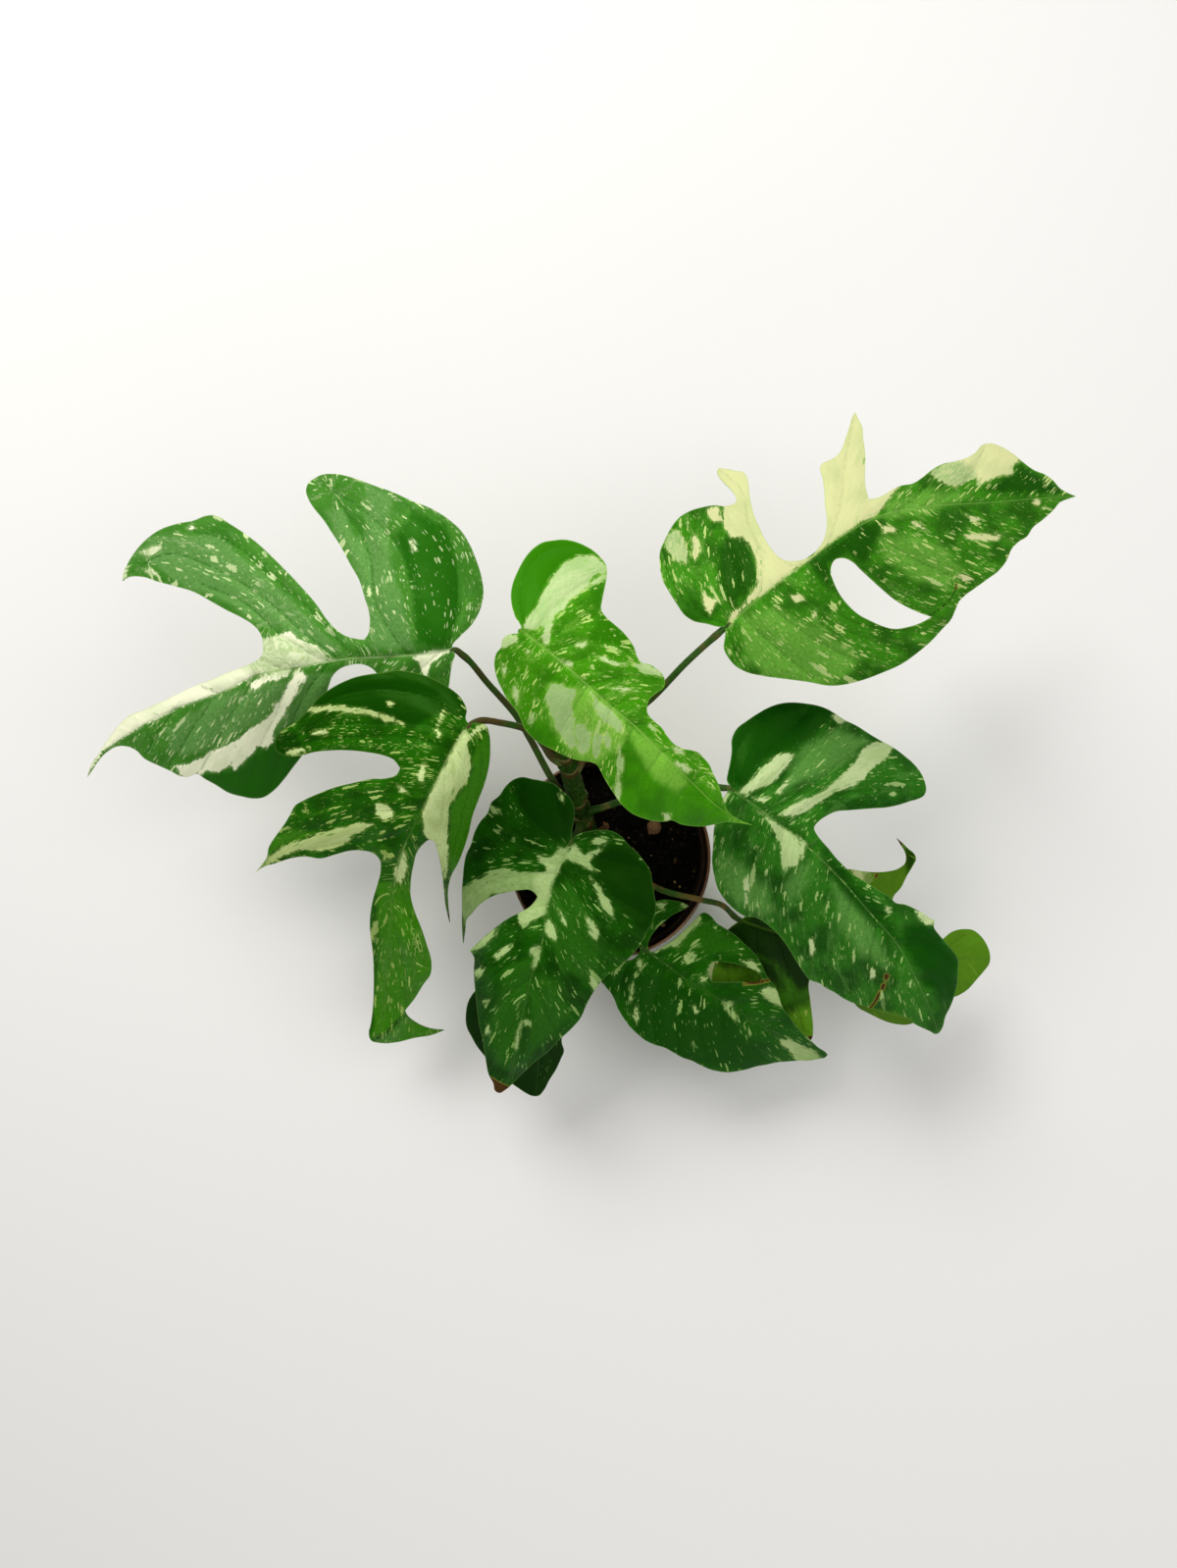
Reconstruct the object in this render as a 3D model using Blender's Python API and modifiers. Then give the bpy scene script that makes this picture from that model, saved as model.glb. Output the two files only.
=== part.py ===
"""Potted mini monstera (a variegated, split-leaved climbing aroid) in a thin plastic nursery pot.

Metres, +Z up. The origin is the centre of the pot's base, which stands on z = 0.

Every leaf is drawn in plan, on the plane of the pot's rim, in plan units of
0.51 mm measured from the pot's axis. The plan is a central projection through
SIGHT_POINT, so a point of a leaf that lies above or below the rim is carried
along its own sight line to its height. A leaf's heights are a few height
marks (plan x, plan y, height in mm), and a smooth sheet is passed through them.
"""

import math

import bmesh
import bpy
import numpy as np
from mathutils import Vector

MM = 0.001

# ---- driving dimensions, in millimetres ------------------------------------
POT_HEIGHT = 93.0
RIM_OUTER_R = 52.5
RIM_INNER_R = 50.7
BASE_R = 37.0
WALL = 1.6
FLOOR = 2.2
COLLAR_HEIGHT = 7.5
DRAIN_HOLES = 8
DRAIN_R = 3.5
DRAIN_RING_R = 26.0
SOIL_TOP = 82.0
SOIL_GAP = 0.4

STEM_R = 5.5
PETIOLE_R = 1.6
GAP = 0.5
LEAF_THICKNESS = 0.9
LEAF_CELL = 27.0  # plan units between the cross cuts of a leaf
OUTLINE_TOLERANCE = 1.7  # plan units that a leaf's outline may be off

PLAN_UNIT = 0.51
SIGHT_POINT = Vector((-11.2, 38.2, 653.0))

TURN_STEPS = 48


# ---- scene -----------------------------------------------------------------
def clear_scene():
    for obj in list(bpy.data.objects):
        bpy.data.objects.remove(obj, do_unlink=True)


clear_scene()
PLANT = bpy.data.collections.new("potted_monstera_plant")
CUTTERS = bpy.data.collections.new("cutters")
for one in (PLANT, CUTTERS):
    bpy.context.scene.collection.children.link(one)


def material(name, colour, roughness):
    mat = bpy.data.materials.new(name)
    mat.use_nodes = True
    shader = mat.node_tree.nodes["Principled BSDF"]
    shader.inputs["Base Color"].default_value = (*colour, 1.0)
    shader.inputs["Roughness"].default_value = roughness
    shader.inputs["Metallic"].default_value = 0.0
    mat.diffuse_color = (*colour, 1.0)
    return mat


POT_PLASTIC = material("pot_plastic", (0.130, 0.056, 0.017), 0.45)
POTTING_SOIL = material("potting_soil", (0.006, 0.006, 0.002), 0.95)
STEM_GREEN = material("stem_green", (0.020, 0.055, 0.008), 0.5)
PETIOLE_GREEN = material("petiole_green", (0.045, 0.100, 0.018), 0.45)
LEAF_GREEN = material("leaf_green", (0.030, 0.125, 0.010), 0.4)
YOUNG_LEAF = material("young_leaf_green", (0.085, 0.280, 0.008), 0.4)
OLD_LEAF = material("shaded_leaf_green", (0.055, 0.140, 0.012), 0.45)
DRY_SHEATH = material("dry_sheath", (0.110, 0.062, 0.028), 0.8)
FIRED_CLAY = material("fired_clay", (0.140, 0.062, 0.028), 0.85)


def add(name, data, mat, collection=PLANT):
    obj = bpy.data.objects.new(name, data)
    collection.objects.link(obj)
    data.materials.append(mat)
    return obj


# ---- plan geometry ---------------------------------------------------------
def carried(x, y, z):
    """The point at height z, in mm, that the plan shows at (x, y)."""
    foot = Vector((SIGHT_POINT.x, SIGHT_POINT.y))
    on_rim = Vector((x, y)) * PLAN_UNIT
    reach = (SIGHT_POINT.z - z) / (SIGHT_POINT.z - POT_HEIGHT)
    place = foot + (on_rim - foot) * reach
    return Vector((place.x, place.y, z))


def simplified(points, tolerance):
    """The outline with the points left out that lie within the tolerance of the line past them."""
    if len(points) < 3:
        return points
    first, last = Vector(points[0]), Vector(points[-1])
    along = last - first
    worst, index = -1.0, 0
    for i in range(1, len(points) - 1):
        off = Vector(points[i]) - first
        if along.length < 1e-9:
            distance = off.length
        else:
            distance = abs(along.x * off.y - along.y * off.x) / along.length
        if distance > worst:
            worst, index = distance, i
    if worst <= tolerance:
        return [points[0], points[-1]]
    left = simplified(points[: index + 1], tolerance)
    return left[:-1] + simplified(points[index:], tolerance)


def spread(squared):
    return 0.5 * squared * np.log(np.maximum(squared, 1e-12))


class Sheet:
    """A smooth height field (thin plate) through height marks."""

    def __init__(self, marks):
        self.marks = np.array(marks, float)
        count = len(marks)
        flat = self.marks[:, :2] / 100.0
        squared = ((flat[:, None] - flat[None]) ** 2).sum(-1)
        system = np.zeros((count + 3, count + 3))
        system[:count, :count] = spread(squared) + 0.002 * np.eye(count)
        system[:count, count] = 1.0
        system[:count, count + 1 :] = flat
        system[count:, :count] = system[:count, count:].T
        self.weights = np.linalg.solve(system, np.append(self.marks[:, 2], [0, 0, 0]))
        self.flat = flat

    def height(self, x, y):
        here = np.array((x, y)) / 100.0
        squared = ((self.flat - here) ** 2).sum(-1)
        bend = spread(squared) @ self.weights[: len(self.flat)]
        tilt = self.weights[len(self.flat) :]
        return float(bend + tilt[0] + tilt[1] * here[0] + tilt[2] * here[1])


# ---- leaves: outline, holes and height marks -------------------------------
LEAVES = {
    # Upper left leaf: two long lobes upward, a long end lobe, a hanging lower lobe.
    "leaf_upper_left": {
        "outline": [
            (-161, 214), (-152, 226), (-142, 236), (-133, 251), (-129, 267), (-131, 286), (-137, 305),
            (-142, 317), (-151, 332), (-165, 345), (-181, 355), (-203, 364), (-223, 373), (-243, 380),
            (-262, 387), (-282, 391), (-294, 390), (-302, 386), (-308, 381), (-310, 375), (-307, 364),
            (-302, 356), (-293, 345), (-283, 330), (-274, 316), (-265, 299), (-256, 283), (-250, 264),
            (-246, 251), (-245, 237), (-247, 227), (-251, 222), (-259, 223), (-270, 226), (-281, 234),
            (-289, 243), (-300, 259), (-313, 274), (-327, 289), (-343, 305), (-359, 320), (-375, 332),
            (-389, 341), (-398, 347), (-406, 349), (-413, 348), (-423, 344), (-442, 340), (-459, 334),
            (-472, 325), (-484, 312), (-492, 299), (-496, 290), (-497, 282), (-493, 285), (-477, 286),
            (-461, 281), (-442, 276), (-423, 270), (-407, 261), (-391, 252), (-375, 244), (-363, 236),
            (-356, 227), (-354, 216), (-355, 206), (-362, 200), (-375, 194), (-391, 188), (-407, 181),
            (-423, 175), (-442, 166), (-461, 157), (-477, 150), (-491, 144), (-500, 136), (-507, 127),
            (-515, 116), (-522, 105), (-529, 95), (-533, 82), (-528, 89), (-522, 98), (-512, 108),
            (-503, 113), (-492, 113), (-483, 109), (-475, 101), (-461, 94), (-448, 88), (-438, 83),
            (-431, 82), (-421, 85), (-413, 80), (-402, 74), (-389, 66), (-375, 62), (-363, 60),
            (-354, 61), (-343, 68), (-332, 80), (-323, 92), (-316, 101), (-305, 117), (-296, 139),
            (-291, 159), (-287, 174), (-282, 186), (-274, 193), (-265, 196), (-254, 197), (-247, 195),
            (-242, 192), (-232, 179), (-217, 164), (-197, 156), (-177, 160), (-166, 170), (-163, 184),
            (-162, 192), (-160, 201), (-158, 206),
        ],
        "holes": [],
        "marks": [
            (-161, 214, 155), (-131, 290, 150), (-200, 330, 152), (-305, 385, 128), (-225, 300, 151),
            (-220, 206, 153), (-273, 202, 152), (-340, 190, 147), (-400, 168, 138), (-460, 142, 126),
            (-500, 122, 113), (-533, 82, 98), (-330, 250, 146), (-400, 300, 134), (-497, 284, 110),
            (-420, 345, 124), (-251, 225, 152), (-356, 212, 146), (-300, 160, 140), (-330, 110, 120),
            (-360, 62, 99), (-430, 84, 112), (-400, 110, 122), (-200, 160, 144), (-165, 180, 149),
            (-235, 180, 147),
        ],
        "material": LEAF_GREEN,
    },
    # Middle left leaf: basal lobe, two side lobes, a hanging end lobe whose tip turns under.
    "leaf_middle_left": {
        "outline": [
            (-144, 136), (-147, 141), (-146, 150), (-149, 158), (-155, 166), (-164, 173), (-176, 180),
            (-190, 186), (-203, 189), (-217, 191), (-228, 189), (-244, 187), (-259, 184), (-272, 179),
            (-285, 172), (-298, 162), (-309, 149), (-322, 137), (-334, 130), (-341, 120), (-341, 110),
            (-335, 105), (-325, 103), (-314, 104), (-303, 107), (-285, 109), (-264, 109), (-246, 107),
            (-231, 104), (-220, 99), (-214, 91), (-218, 84), (-227, 81), (-244, 80), (-262, 76),
            (-282, 71), (-300, 64), (-313, 58), (-321, 53), (-326, 44), (-332, 34), (-340, 23),
            (-348, 10), (-350, 0), (-354, -6), (-362, -16), (-354, -10), (-341, -6), (-326, -1),
            (-311, 1), (-295, -1), (-280, 3), (-264, 7), (-252, 7), (-241, 4), (-235, -2),
            (-234, -14), (-237, -27), (-241, -40), (-244, -55), (-245, -68), (-244, -81), (-242, -96),
            (-241, -116), (-241, -134), (-242, -155), (-244, -170), (-246, -179), (-244, -186), (-234, -189),
            (-216, -188), (-200, -184), (-182, -181), (-169, -176), (-184, -174), (-198, -168), (-207, -160),
            (-209, -156), (-200, -145), (-190, -129), (-183, -119), (-182, -107), (-187, -88), (-193, -70),
            (-199, -55), (-203, -40), (-203, -24), (-200, -6), (-197, 5), (-190, 14), (-184, 18),
            (-179, 16), (-176, 8), (-173, -4), (-171, -16), (-169, -32), (-167, -50), (-163, -66),
            (-164, -57), (-165, -45), (-165, -32), (-162, -19), (-155, -6), (-149, 9), (-144, 25),
            (-140, 43), (-134, 59), (-127, 78), (-123, 96), (-122, 112), (-123, 125), (-127, 135),
            (-134, 137),
        ],
        "holes": [],
        "marks": [
            (-144, 136, 168), (-150, 160, 164), (-217, 190, 161), (-280, 172, 157), (-335, 128, 149),
            (-341, 112, 145), (-264, 110, 152), (-220, 130, 161), (-165, 100, 167), (-185, 60, 161),
            (-205, 25, 151), (-215, 0, 140), (-220, -50, 118), (-215, -110, 92), (-225, -160, 68),
            (-280, 40, 140), (-330, 25, 124), (-362, -16, 106), (-250, 70, 152), (-250, 10, 138),
            (-123, 110, 160), (-125, 88, 153), (-140, 45, 134), (-150, 10, 114), (-163, -66, 74),
            (-184, 18, 141), (-245, -60, 112), (-190, -80, 104), (-183, -119, 90), (-243, -180, 62),
            (-169, -176, 58),
        ],
        "material": LEAF_GREEN,
    },
    # Top leaf, the newest: wavy margin, a broad basal lobe, long end lobe.
    "leaf_top_new": {
        "outline": [
            (-91, 232), (-97, 246), (-100, 256), (-101, 270), (-99, 280), (-95, 290), (-90, 300),
            (-84, 309), (-77, 316), (-69, 321), (-59, 323), (-47, 324), (-36, 322), (-24, 317),
            (-16, 312), (-9, 305), (-4, 298), (-3, 291), (-4, 282), (-6, 272), (-8, 262),
            (-9, 253), (-4, 245), (4, 238), (12, 231), (19, 223), (25, 213), (28, 204),
            (32, 199), (40, 197), (48, 192), (54, 186), (56, 180), (55, 174), (48, 168),
            (40, 161), (38, 154), (38, 148), (44, 140), (52, 133), (59, 123), (65, 116),
            (74, 111), (84, 109), (90, 107), (95, 102), (101, 95), (105, 86), (110, 76),
            (114, 64), (117, 54), (121, 46), (129, 40), (145, 33), (131, 35), (118, 36),
            (108, 34), (98, 32), (84, 32), (72, 34), (62, 38), (58, 37), (46, 37),
            (34, 40), (24, 44), (16, 50), (10, 56), (6, 62), (0, 71), (-6, 81),
            (-10, 89), (-14, 95), (-19, 97), (-24, 98), (-32, 99), (-42, 102), (-51, 106),
            (-61, 111), (-69, 115), (-77, 120), (-83, 126), (-87, 131), (-90, 138), (-94, 147),
            (-100, 155), (-105, 161), (-110, 171), (-114, 179), (-117, 189), (-118, 199), (-116, 208),
            (-111, 215), (-110, 221), (-106, 226), (-99, 228), (-93, 229),
        ],
        "holes": [],
        "marks": [
            (-91, 232, 212), (-100, 270, 206), (-60, 322, 196), (-5, 295, 196), (-50, 265, 210),
            (-60, 206, 213), (0, 150, 208), (60, 95, 197), (110, 50, 182), (145, 33, 168),
            (-118, 195, 202), (-90, 140, 196), (-40, 102, 192), (0, 75, 190), (40, 40, 183),
            (95, 32, 174), (28, 205, 202), (56, 180, 196), (38, 150, 203), (80, 110, 192),
            (114, 64, 181),
        ],
        "material": YOUNG_LEAF,
    },
    # Upper right leaf: rounded basal lobe, two pale finger lobes, a long window in the lower half.
    "leaf_upper_right": {
        "outline": [
            (118, 235), (111, 235), (99, 238), (85, 241), (77, 246), (68, 258), (60, 271),
            (53, 284), (51, 295), (51, 312), (56, 324), (61, 334), (70, 346), (81, 353),
            (94, 357), (108, 359), (117, 358), (125, 360), (129, 362), (128, 368), (123, 375),
            (116, 382), (111, 388), (109, 394), (111, 397), (119, 396), (128, 394), (135, 393),
            (139, 389), (141, 382), (142, 371), (144, 360), (147, 348), (152, 337), (157, 326),
            (164, 315), (171, 307), (178, 303), (187, 302), (198, 304), (207, 308), (212, 315),
            (217, 322), (220, 331), (221, 343), (219, 360), (218, 377), (216, 389), (214, 396),
            (216, 401), (224, 405), (231, 409), (236, 416), (240, 427), (244, 439), (247, 449),
            (250, 454), (253, 447), (257, 439), (258, 427), (260, 413), (260, 396), (260, 382),
            (262, 371), (264, 365), (271, 366), (280, 370), (288, 375), (297, 379), (308, 381),
            (318, 387), (328, 395), (339, 401), (353, 404), (365, 408), (373, 413), (379, 420),
            (387, 422), (398, 419), (410, 412), (421, 403), (432, 395), (444, 390), (452, 384),
            (459, 376), (466, 372), (475, 368), (466, 365), (459, 362), (452, 354), (441, 344),
            (431, 336), (425, 327), (417, 322), (410, 315), (404, 302), (396, 292), (384, 283),
            (373, 275), (362, 267), (356, 261), (352, 252), (348, 243), (339, 233), (328, 221),
            (314, 209), (297, 197), (277, 188), (255, 180), (226, 175), (201, 179), (178, 182),
            (156, 185), (139, 189), (128, 195), (121, 203), (116, 213), (117, 224),
        ],
        "holes": [
            [
                (226, 298), (229, 303), (238, 305), (246, 302), (257, 292), (269, 281), (280, 271),
                (291, 262), (305, 254), (319, 248), (328, 245), (319, 240), (305, 235), (288, 233),
                (280, 235), (266, 241), (253, 248), (243, 257), (235, 267), (228, 281), (225, 291),
            ]
        ],
        "marks": [
            (118, 235, 180), (60, 270, 175), (55, 320, 168), (100, 357, 162), (170, 275, 183),
            (235, 327, 179), (275, 350, 173), (340, 360, 163), (420, 368, 149), (475, 368, 138),
            (111, 392, 158), (165, 315, 176), (218, 380, 167), (250, 454, 150), (380, 420, 147),
            (130, 200, 176), (200, 182, 169), (280, 190, 157), (345, 240, 149), (230, 280, 179),
            (300, 238, 161), (370, 275, 152), (410, 315, 149), (300, 300, 168),
        ],
        "material": LEAF_GREEN,
    },
    # Right leaf: dark basal lobe, a side lobe, and a broad unsplit left half.
    "leaf_right": {
        "outline": [
            (123, 71), (119, 79), (120, 86), (122, 95), (124, 109), (124, 120), (129, 131),
            (139, 139), (151, 147), (162, 153), (174, 157), (188, 158), (199, 157), (211, 155),
            (220, 152), (229, 147), (238, 141), (252, 134), (266, 125), (278, 118), (289, 112),
            (301, 103), (311, 94), (317, 86), (321, 77), (322, 67), (320, 63), (315, 60),
            (305, 57), (296, 54), (282, 51), (268, 50), (255, 49), (243, 48), (231, 47),
            (220, 42), (212, 36), (208, 30), (210, 25), (215, 18), (222, 10), (231, -1),
            (241, -11), (245, -15), (259, -24), (273, -33), (285, -40), (291, -46), (301, -48),
            (312, -53), (321, -58), (328, -63), (331, -64), (330, -70), (335, -78), (341, -85),
            (349, -94), (355, -104), (355, -115), (354, -129), (351, -141), (347, -152), (342, -162),
            (339, -173), (336, -178), (333, -180), (326, -177), (317, -173), (311, -170), (303, -164),
            (285, -160), (270, -155), (258, -151), (247, -148), (237, -143), (228, -137), (220, -133),
            (213, -128), (204, -125), (198, -118), (190, -106), (181, -91), (171, -78), (160, -68),
            (148, -61), (138, -60), (128, -54), (117, -43), (110, -32), (106, -18), (104, -4),
            (105, 12), (106, 30), (110, 46), (114, 58), (119, 66),
        ],
        "holes": [],
        "marks": [
            (123, 71, 150), (124, 110, 147), (180, 157, 139), (235, 142, 136), (322, 70, 113),
            (280, 85, 124), (208, 30, 141), (165, 45, 149), (210, 5, 143), (255, -42, 134),
            (295, -90, 124), (320, -135, 112), (333, -180, 96), (106, 0, 135), (115, -40, 127),
            (160, -68, 119), (200, -120, 109), (260, -152, 102), (245, -15, 136), (290, -46, 126),
            (331, -66, 116), (355, -110, 108), (345, -155, 101),
        ],
        "material": LEAF_GREEN,
    },
    # Front leaf: over the rim, a long upper-left lobe, broad right half, tip hanging down.
    "leaf_front": {
        "outline": [
            (-39, 17), (-39, 24), (-37, 37), (-36, 45), (-37, 53), (-41, 61), (-49, 68),
            (-57, 75), (-68, 78), (-79, 80), (-90, 82), (-99, 79), (-106, 73), (-113, 63),
            (-121, 56), (-125, 45), (-132, 37), (-138, 26), (-142, 13), (-147, 2), (-149, -9),
            (-150, -20), (-151, -33), (-151, -42), (-151, -55), (-151, -68), (-150, -87), (-148, -72),
            (-147, -64), (-141, -57), (-134, -49), (-126, -43), (-116, -38), (-103, -35), (-90, -33),
            (-82, -33), (-77, -36), (-74, -40), (-77, -45), (-83, -51), (-92, -56), (-102, -61),
            (-114, -69), (-125, -78), (-136, -88), (-143, -95), (-139, -101), (-139, -114), (-138, -131),
            (-136, -151), (-134, -168), (-130, -186), (-127, -205), (-123, -223), (-119, -230), (-117, -238),
            (-113, -240), (-107, -237), (-103, -234), (-99, -230), (-88, -219), (-75, -207), (-62, -197),
            (-52, -186), (-42, -177), (-31, -165), (-22, -146), (-16, -136), (-5, -122), (6, -114),
            (19, -103), (30, -90), (37, -77), (44, -64), (47, -51), (45, -37), (43, -24),
            (40, -11), (34, -3), (28, 5), (19, 13), (12, 21), (4, 26), (-9, 28),
            (-20, 27), (-31, 24), (-37, 20),
        ],
        "holes": [],
        "marks": [
            (-39, 17, 115), (-37, 50, 124), (-57, 75, 125), (-100, 78, 119), (-135, 30, 109),
            (-151, -40, 98), (-150, -87, 86), (-76, -42, 114), (-53, -11, 118), (-66, -63, 118),
            (-79, -120, 114), (-90, -165, 104), (-103, -210, 89), (-113, -240, 76), (-143, -95, 99),
            (-136, -150, 95), (-125, -215, 81), (-10, 28, 116), (40, -5, 112), (47, -50, 109),
            (30, -90, 105), (-15, -138, 101), (-50, -185, 93), (-90, -222, 80),
        ],
        "material": LEAF_GREEN,
    },
    # Lower right leaf: starts on the rim, hangs outside it, a small lobe inside it, one window.
    "leaf_lower_right": {
        "outline": [
            (30, -97), (30, -84), (33, -71), (38, -56), (45, -46), (49, -44), (57, -43),
            (66, -44), (74, -46), (80, -49), (77, -52), (71, -55), (63, -59), (56, -65),
            (48, -72), (42, -80), (39, -87), (39, -93), (42, -98), (48, -95), (56, -90),
            (65, -84), (73, -77), (80, -70), (87, -63), (93, -57), (96, -56), (99, -57),
            (104, -61), (109, -67), (117, -72), (123, -76), (131, -82), (137, -88), (145, -95),
            (151, -103), (156, -112), (160, -121), (165, -127), (169, -132), (172, -141), (176, -153),
            (182, -161), (189, -171), (197, -180), (204, -186), (208, -190), (214, -195), (219, -198),
            (222, -201), (219, -204), (214, -205), (203, -207), (193, -207), (180, -208), (169, -209),
            (160, -211), (149, -213), (139, -216), (129, -218), (120, -219), (111, -218), (102, -216),
            (93, -212), (83, -207), (74, -204), (65, -199), (56, -194), (46, -191), (37, -187),
            (28, -180), (20, -172), (14, -164), (8, -154), (5, -146), (2, -140), (-6, -130),
            (-14, -118), (-11, -108), (0, -107), (13, -106), (23, -104),
        ],
        "holes": [
            [
                (101, -112), (105, -107), (119, -107), (133, -110), (145, -114), (153, -120), (155, -124),
                (149, -127), (139, -127), (123, -127), (111, -127), (104, -126), (101, -121),
            ]
        ],
        "marks": [
            (39, -92, 96), (30, -97, 96), (30, -84, 96), (42, -80, 95), (45, -50, 92),
            (80, -49, 88.5), (50, -70, 93), (48, -95, 92.5), (65, -84, 89), (87, -63, 90),
            (97, -57, 92), (77, -124, 86), (110, -140, 82), (160, -175, 70), (222, -201, 48),
            (123, -76, 93), (151, -103, 88), (172, -141, 80), (200, -183, 62), (0, -107, 93),
            (-13, -112, 90), (5, -146, 83), (28, -180, 75), (74, -204, 67), (120, -219, 58),
            (180, -208, 51), (130, -118, 87),
        ],
        "material": LEAF_GREEN,
    },
    # Low right leaf, under the right leaf and the lower right one.
    "leaf_low_right": {
        "outline": [
            (133, -64), (121, -73), (108, -86), (96, -106), (92, -126), (98, -146), (113, -166),
            (138, -184), (168, -194), (193, -192), (206, -184), (207, -174), (206, -161), (204, -145),
            (203, -126), (213, -111), (228, -106), (240, -126), (246, -144), (253, -153), (262, -158),
            (270, -162), (281, -167), (293, -170), (305, -170), (316, -164), (323, -146), (326, -131),
            (336, -136), (343, -143), (351, -142), (364, -135), (374, -124), (381, -116), (387, -107),
            (387, -97), (383, -87), (378, -80), (370, -74), (362, -73), (354, -74), (347, -77),
            (341, -82), (323, -91), (308, -81), (293, -56), (288, -43), (297, -30), (303, -18),
            (309, -8), (312, -1), (310, 4), (304, 9), (299, 14), (292, 20), (297, 12),
            (300, 7), (302, 1), (301, -6), (295, -11), (285, -14), (272, -15), (258, -14),
            (245, -12), (228, -14), (203, -24), (173, -38), (150, -52),
        ],
        "holes": [],
        "marks": [
            (133, -64, 86), (108, -86, 82), (92, -126, 74), (113, -166, 61), (168, -194, 48),
            (206, -180, 48), (203, -126, 67), (200, -75, 84), (260, -85, 82), (320, -98, 78),
            (387, -100, 70), (240, -14, 85), (280, -15, 82), (305, -10, 79), (292, 20, 84),
            (245, -140, 70), (293, -170, 61), (323, -146, 66), (343, -142, 66), (380, -118, 67),
            (365, -74, 73),
        ],
        "material": OLD_LEAF,
    },
    # Low front leaf, nearly hidden under the front leaf.
    "leaf_low_front": {
        "outline": [
            (-37, -71), (-62, -74), (-87, -84), (-112, -104), (-132, -129), (-145, -148), (-147, -159),
            (-146, -173), (-141, -183), (-136, -192), (-129, -201), (-117, -216), (-102, -229), (-92, -236),
            (-86, -240), (-79, -243), (-73, -243), (-68, -238), (-62, -227), (-55, -216), (-50, -205),
            (-47, -197), (-49, -190), (-44, -166), (-30, -136), (-19, -111), (-22, -86),
        ],
        "holes": [],
        "marks": [
            (-37, -71, 100), (-60, -104, 99.5), (-24, -104, 99.5), (-110, -110, 96), (-145, -160, 77),
            (-141, -183, 69), (-75, -243, 53), (-50, -205, 63), (-60, -160, 80), (-92, -234, 55),
            (-100, -170, 78),
        ],
        "material": OLD_LEAF,
    },
}


def flat_fill(name, loops):
    """A filled 2D outline with its holes, as a mesh in the plan plane, cut into cells."""
    curve = bpy.data.curves.new(name, "CURVE")
    curve.dimensions = "2D"
    curve.fill_mode = "BOTH"
    for loop in loops:
        spline = curve.splines.new("POLY")
        spline.points.add(len(loop) - 1)
        for point, (x, y) in zip(spline.points, loop):
            point.co = (x, y, 0.0, 1.0)
        spline.use_cyclic_u = True
    guide = bpy.data.objects.new(name + "_outline", curve)
    bpy.context.scene.collection.objects.link(guide)
    graph = bpy.context.evaluated_depsgraph_get()
    mesh = bpy.data.meshes.new_from_object(guide.evaluated_get(graph))
    bpy.data.objects.remove(guide, do_unlink=True)
    bpy.data.curves.remove(curve)
    net = bmesh.new()
    net.from_mesh(mesh)
    bmesh.ops.remove_doubles(net, verts=net.verts, dist=0.01)
    low = [min(v.co[axis] for v in net.verts) for axis in (0, 1)]
    high = [max(v.co[axis] for v in net.verts) for axis in (0, 1)]
    for axis in (0, 1):
        cuts = max(1, round((high[axis] - low[axis]) / LEAF_CELL))
        for i in range(1, cuts):
            at = low[axis] + (high[axis] - low[axis]) * i / cuts
            bmesh.ops.bisect_plane(
                net,
                geom=net.verts[:] + net.edges[:] + net.faces[:],
                dist=0.3,
                plane_co=(at if axis == 0 else 0.0, at if axis == 1 else 0.0, 0.0),
                plane_no=(1.0, 0.0, 0.0) if axis == 0 else (0.0, 1.0, 0.0),
            )
    bmesh.ops.dissolve_degenerate(net, edges=net.edges, dist=0.2)
    bmesh.ops.triangulate(net, faces=net.faces)
    bmesh.ops.recalc_face_normals(net, faces=net.faces)
    if sum(face.normal.z for face in net.faces) < 0:
        bmesh.ops.reverse_faces(net, faces=net.faces)
    net.to_mesh(mesh)
    net.free()
    return mesh


def make_leaf(name, leaf):
    loops = []
    for loop in [leaf["outline"]] + leaf["holes"]:
        closed = simplified(loop + [loop[0]], OUTLINE_TOLERANCE)
        loops.append(closed[:-1])
    mesh = flat_fill(name, loops)
    sheet = Sheet(leaf["marks"])
    for vertex in mesh.vertices:
        x, y = vertex.co.x, vertex.co.y
        vertex.co = carried(x, y, sheet.height(x, y)) * MM
    obj = add(name, mesh, leaf["material"])
    thick = obj.modifiers.new("blade_thickness", "SOLIDIFY")
    thick.thickness = LEAF_THICKNESS * MM
    thick.offset = 0.0
    thick.use_even_offset = False
    return obj


# ---- turned parts ----------------------------------------------------------
def turned(name, profile, mat, collection=PLANT):
    mesh = bpy.data.meshes.new(name)
    points = [(r * MM, 0.0, z * MM) for r, z in profile]
    mesh.from_pydata(points, [(i, i + 1) for i in range(len(points) - 1)], [])
    obj = add(name, mesh, mat, collection)
    screw = obj.modifiers.new("turn", "SCREW")
    screw.steps = TURN_STEPS
    screw.render_steps = TURN_STEPS
    screw.use_merge_vertices = True
    screw.merge_threshold = 0.00005
    screw.use_normal_calculate = True
    return obj


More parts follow.
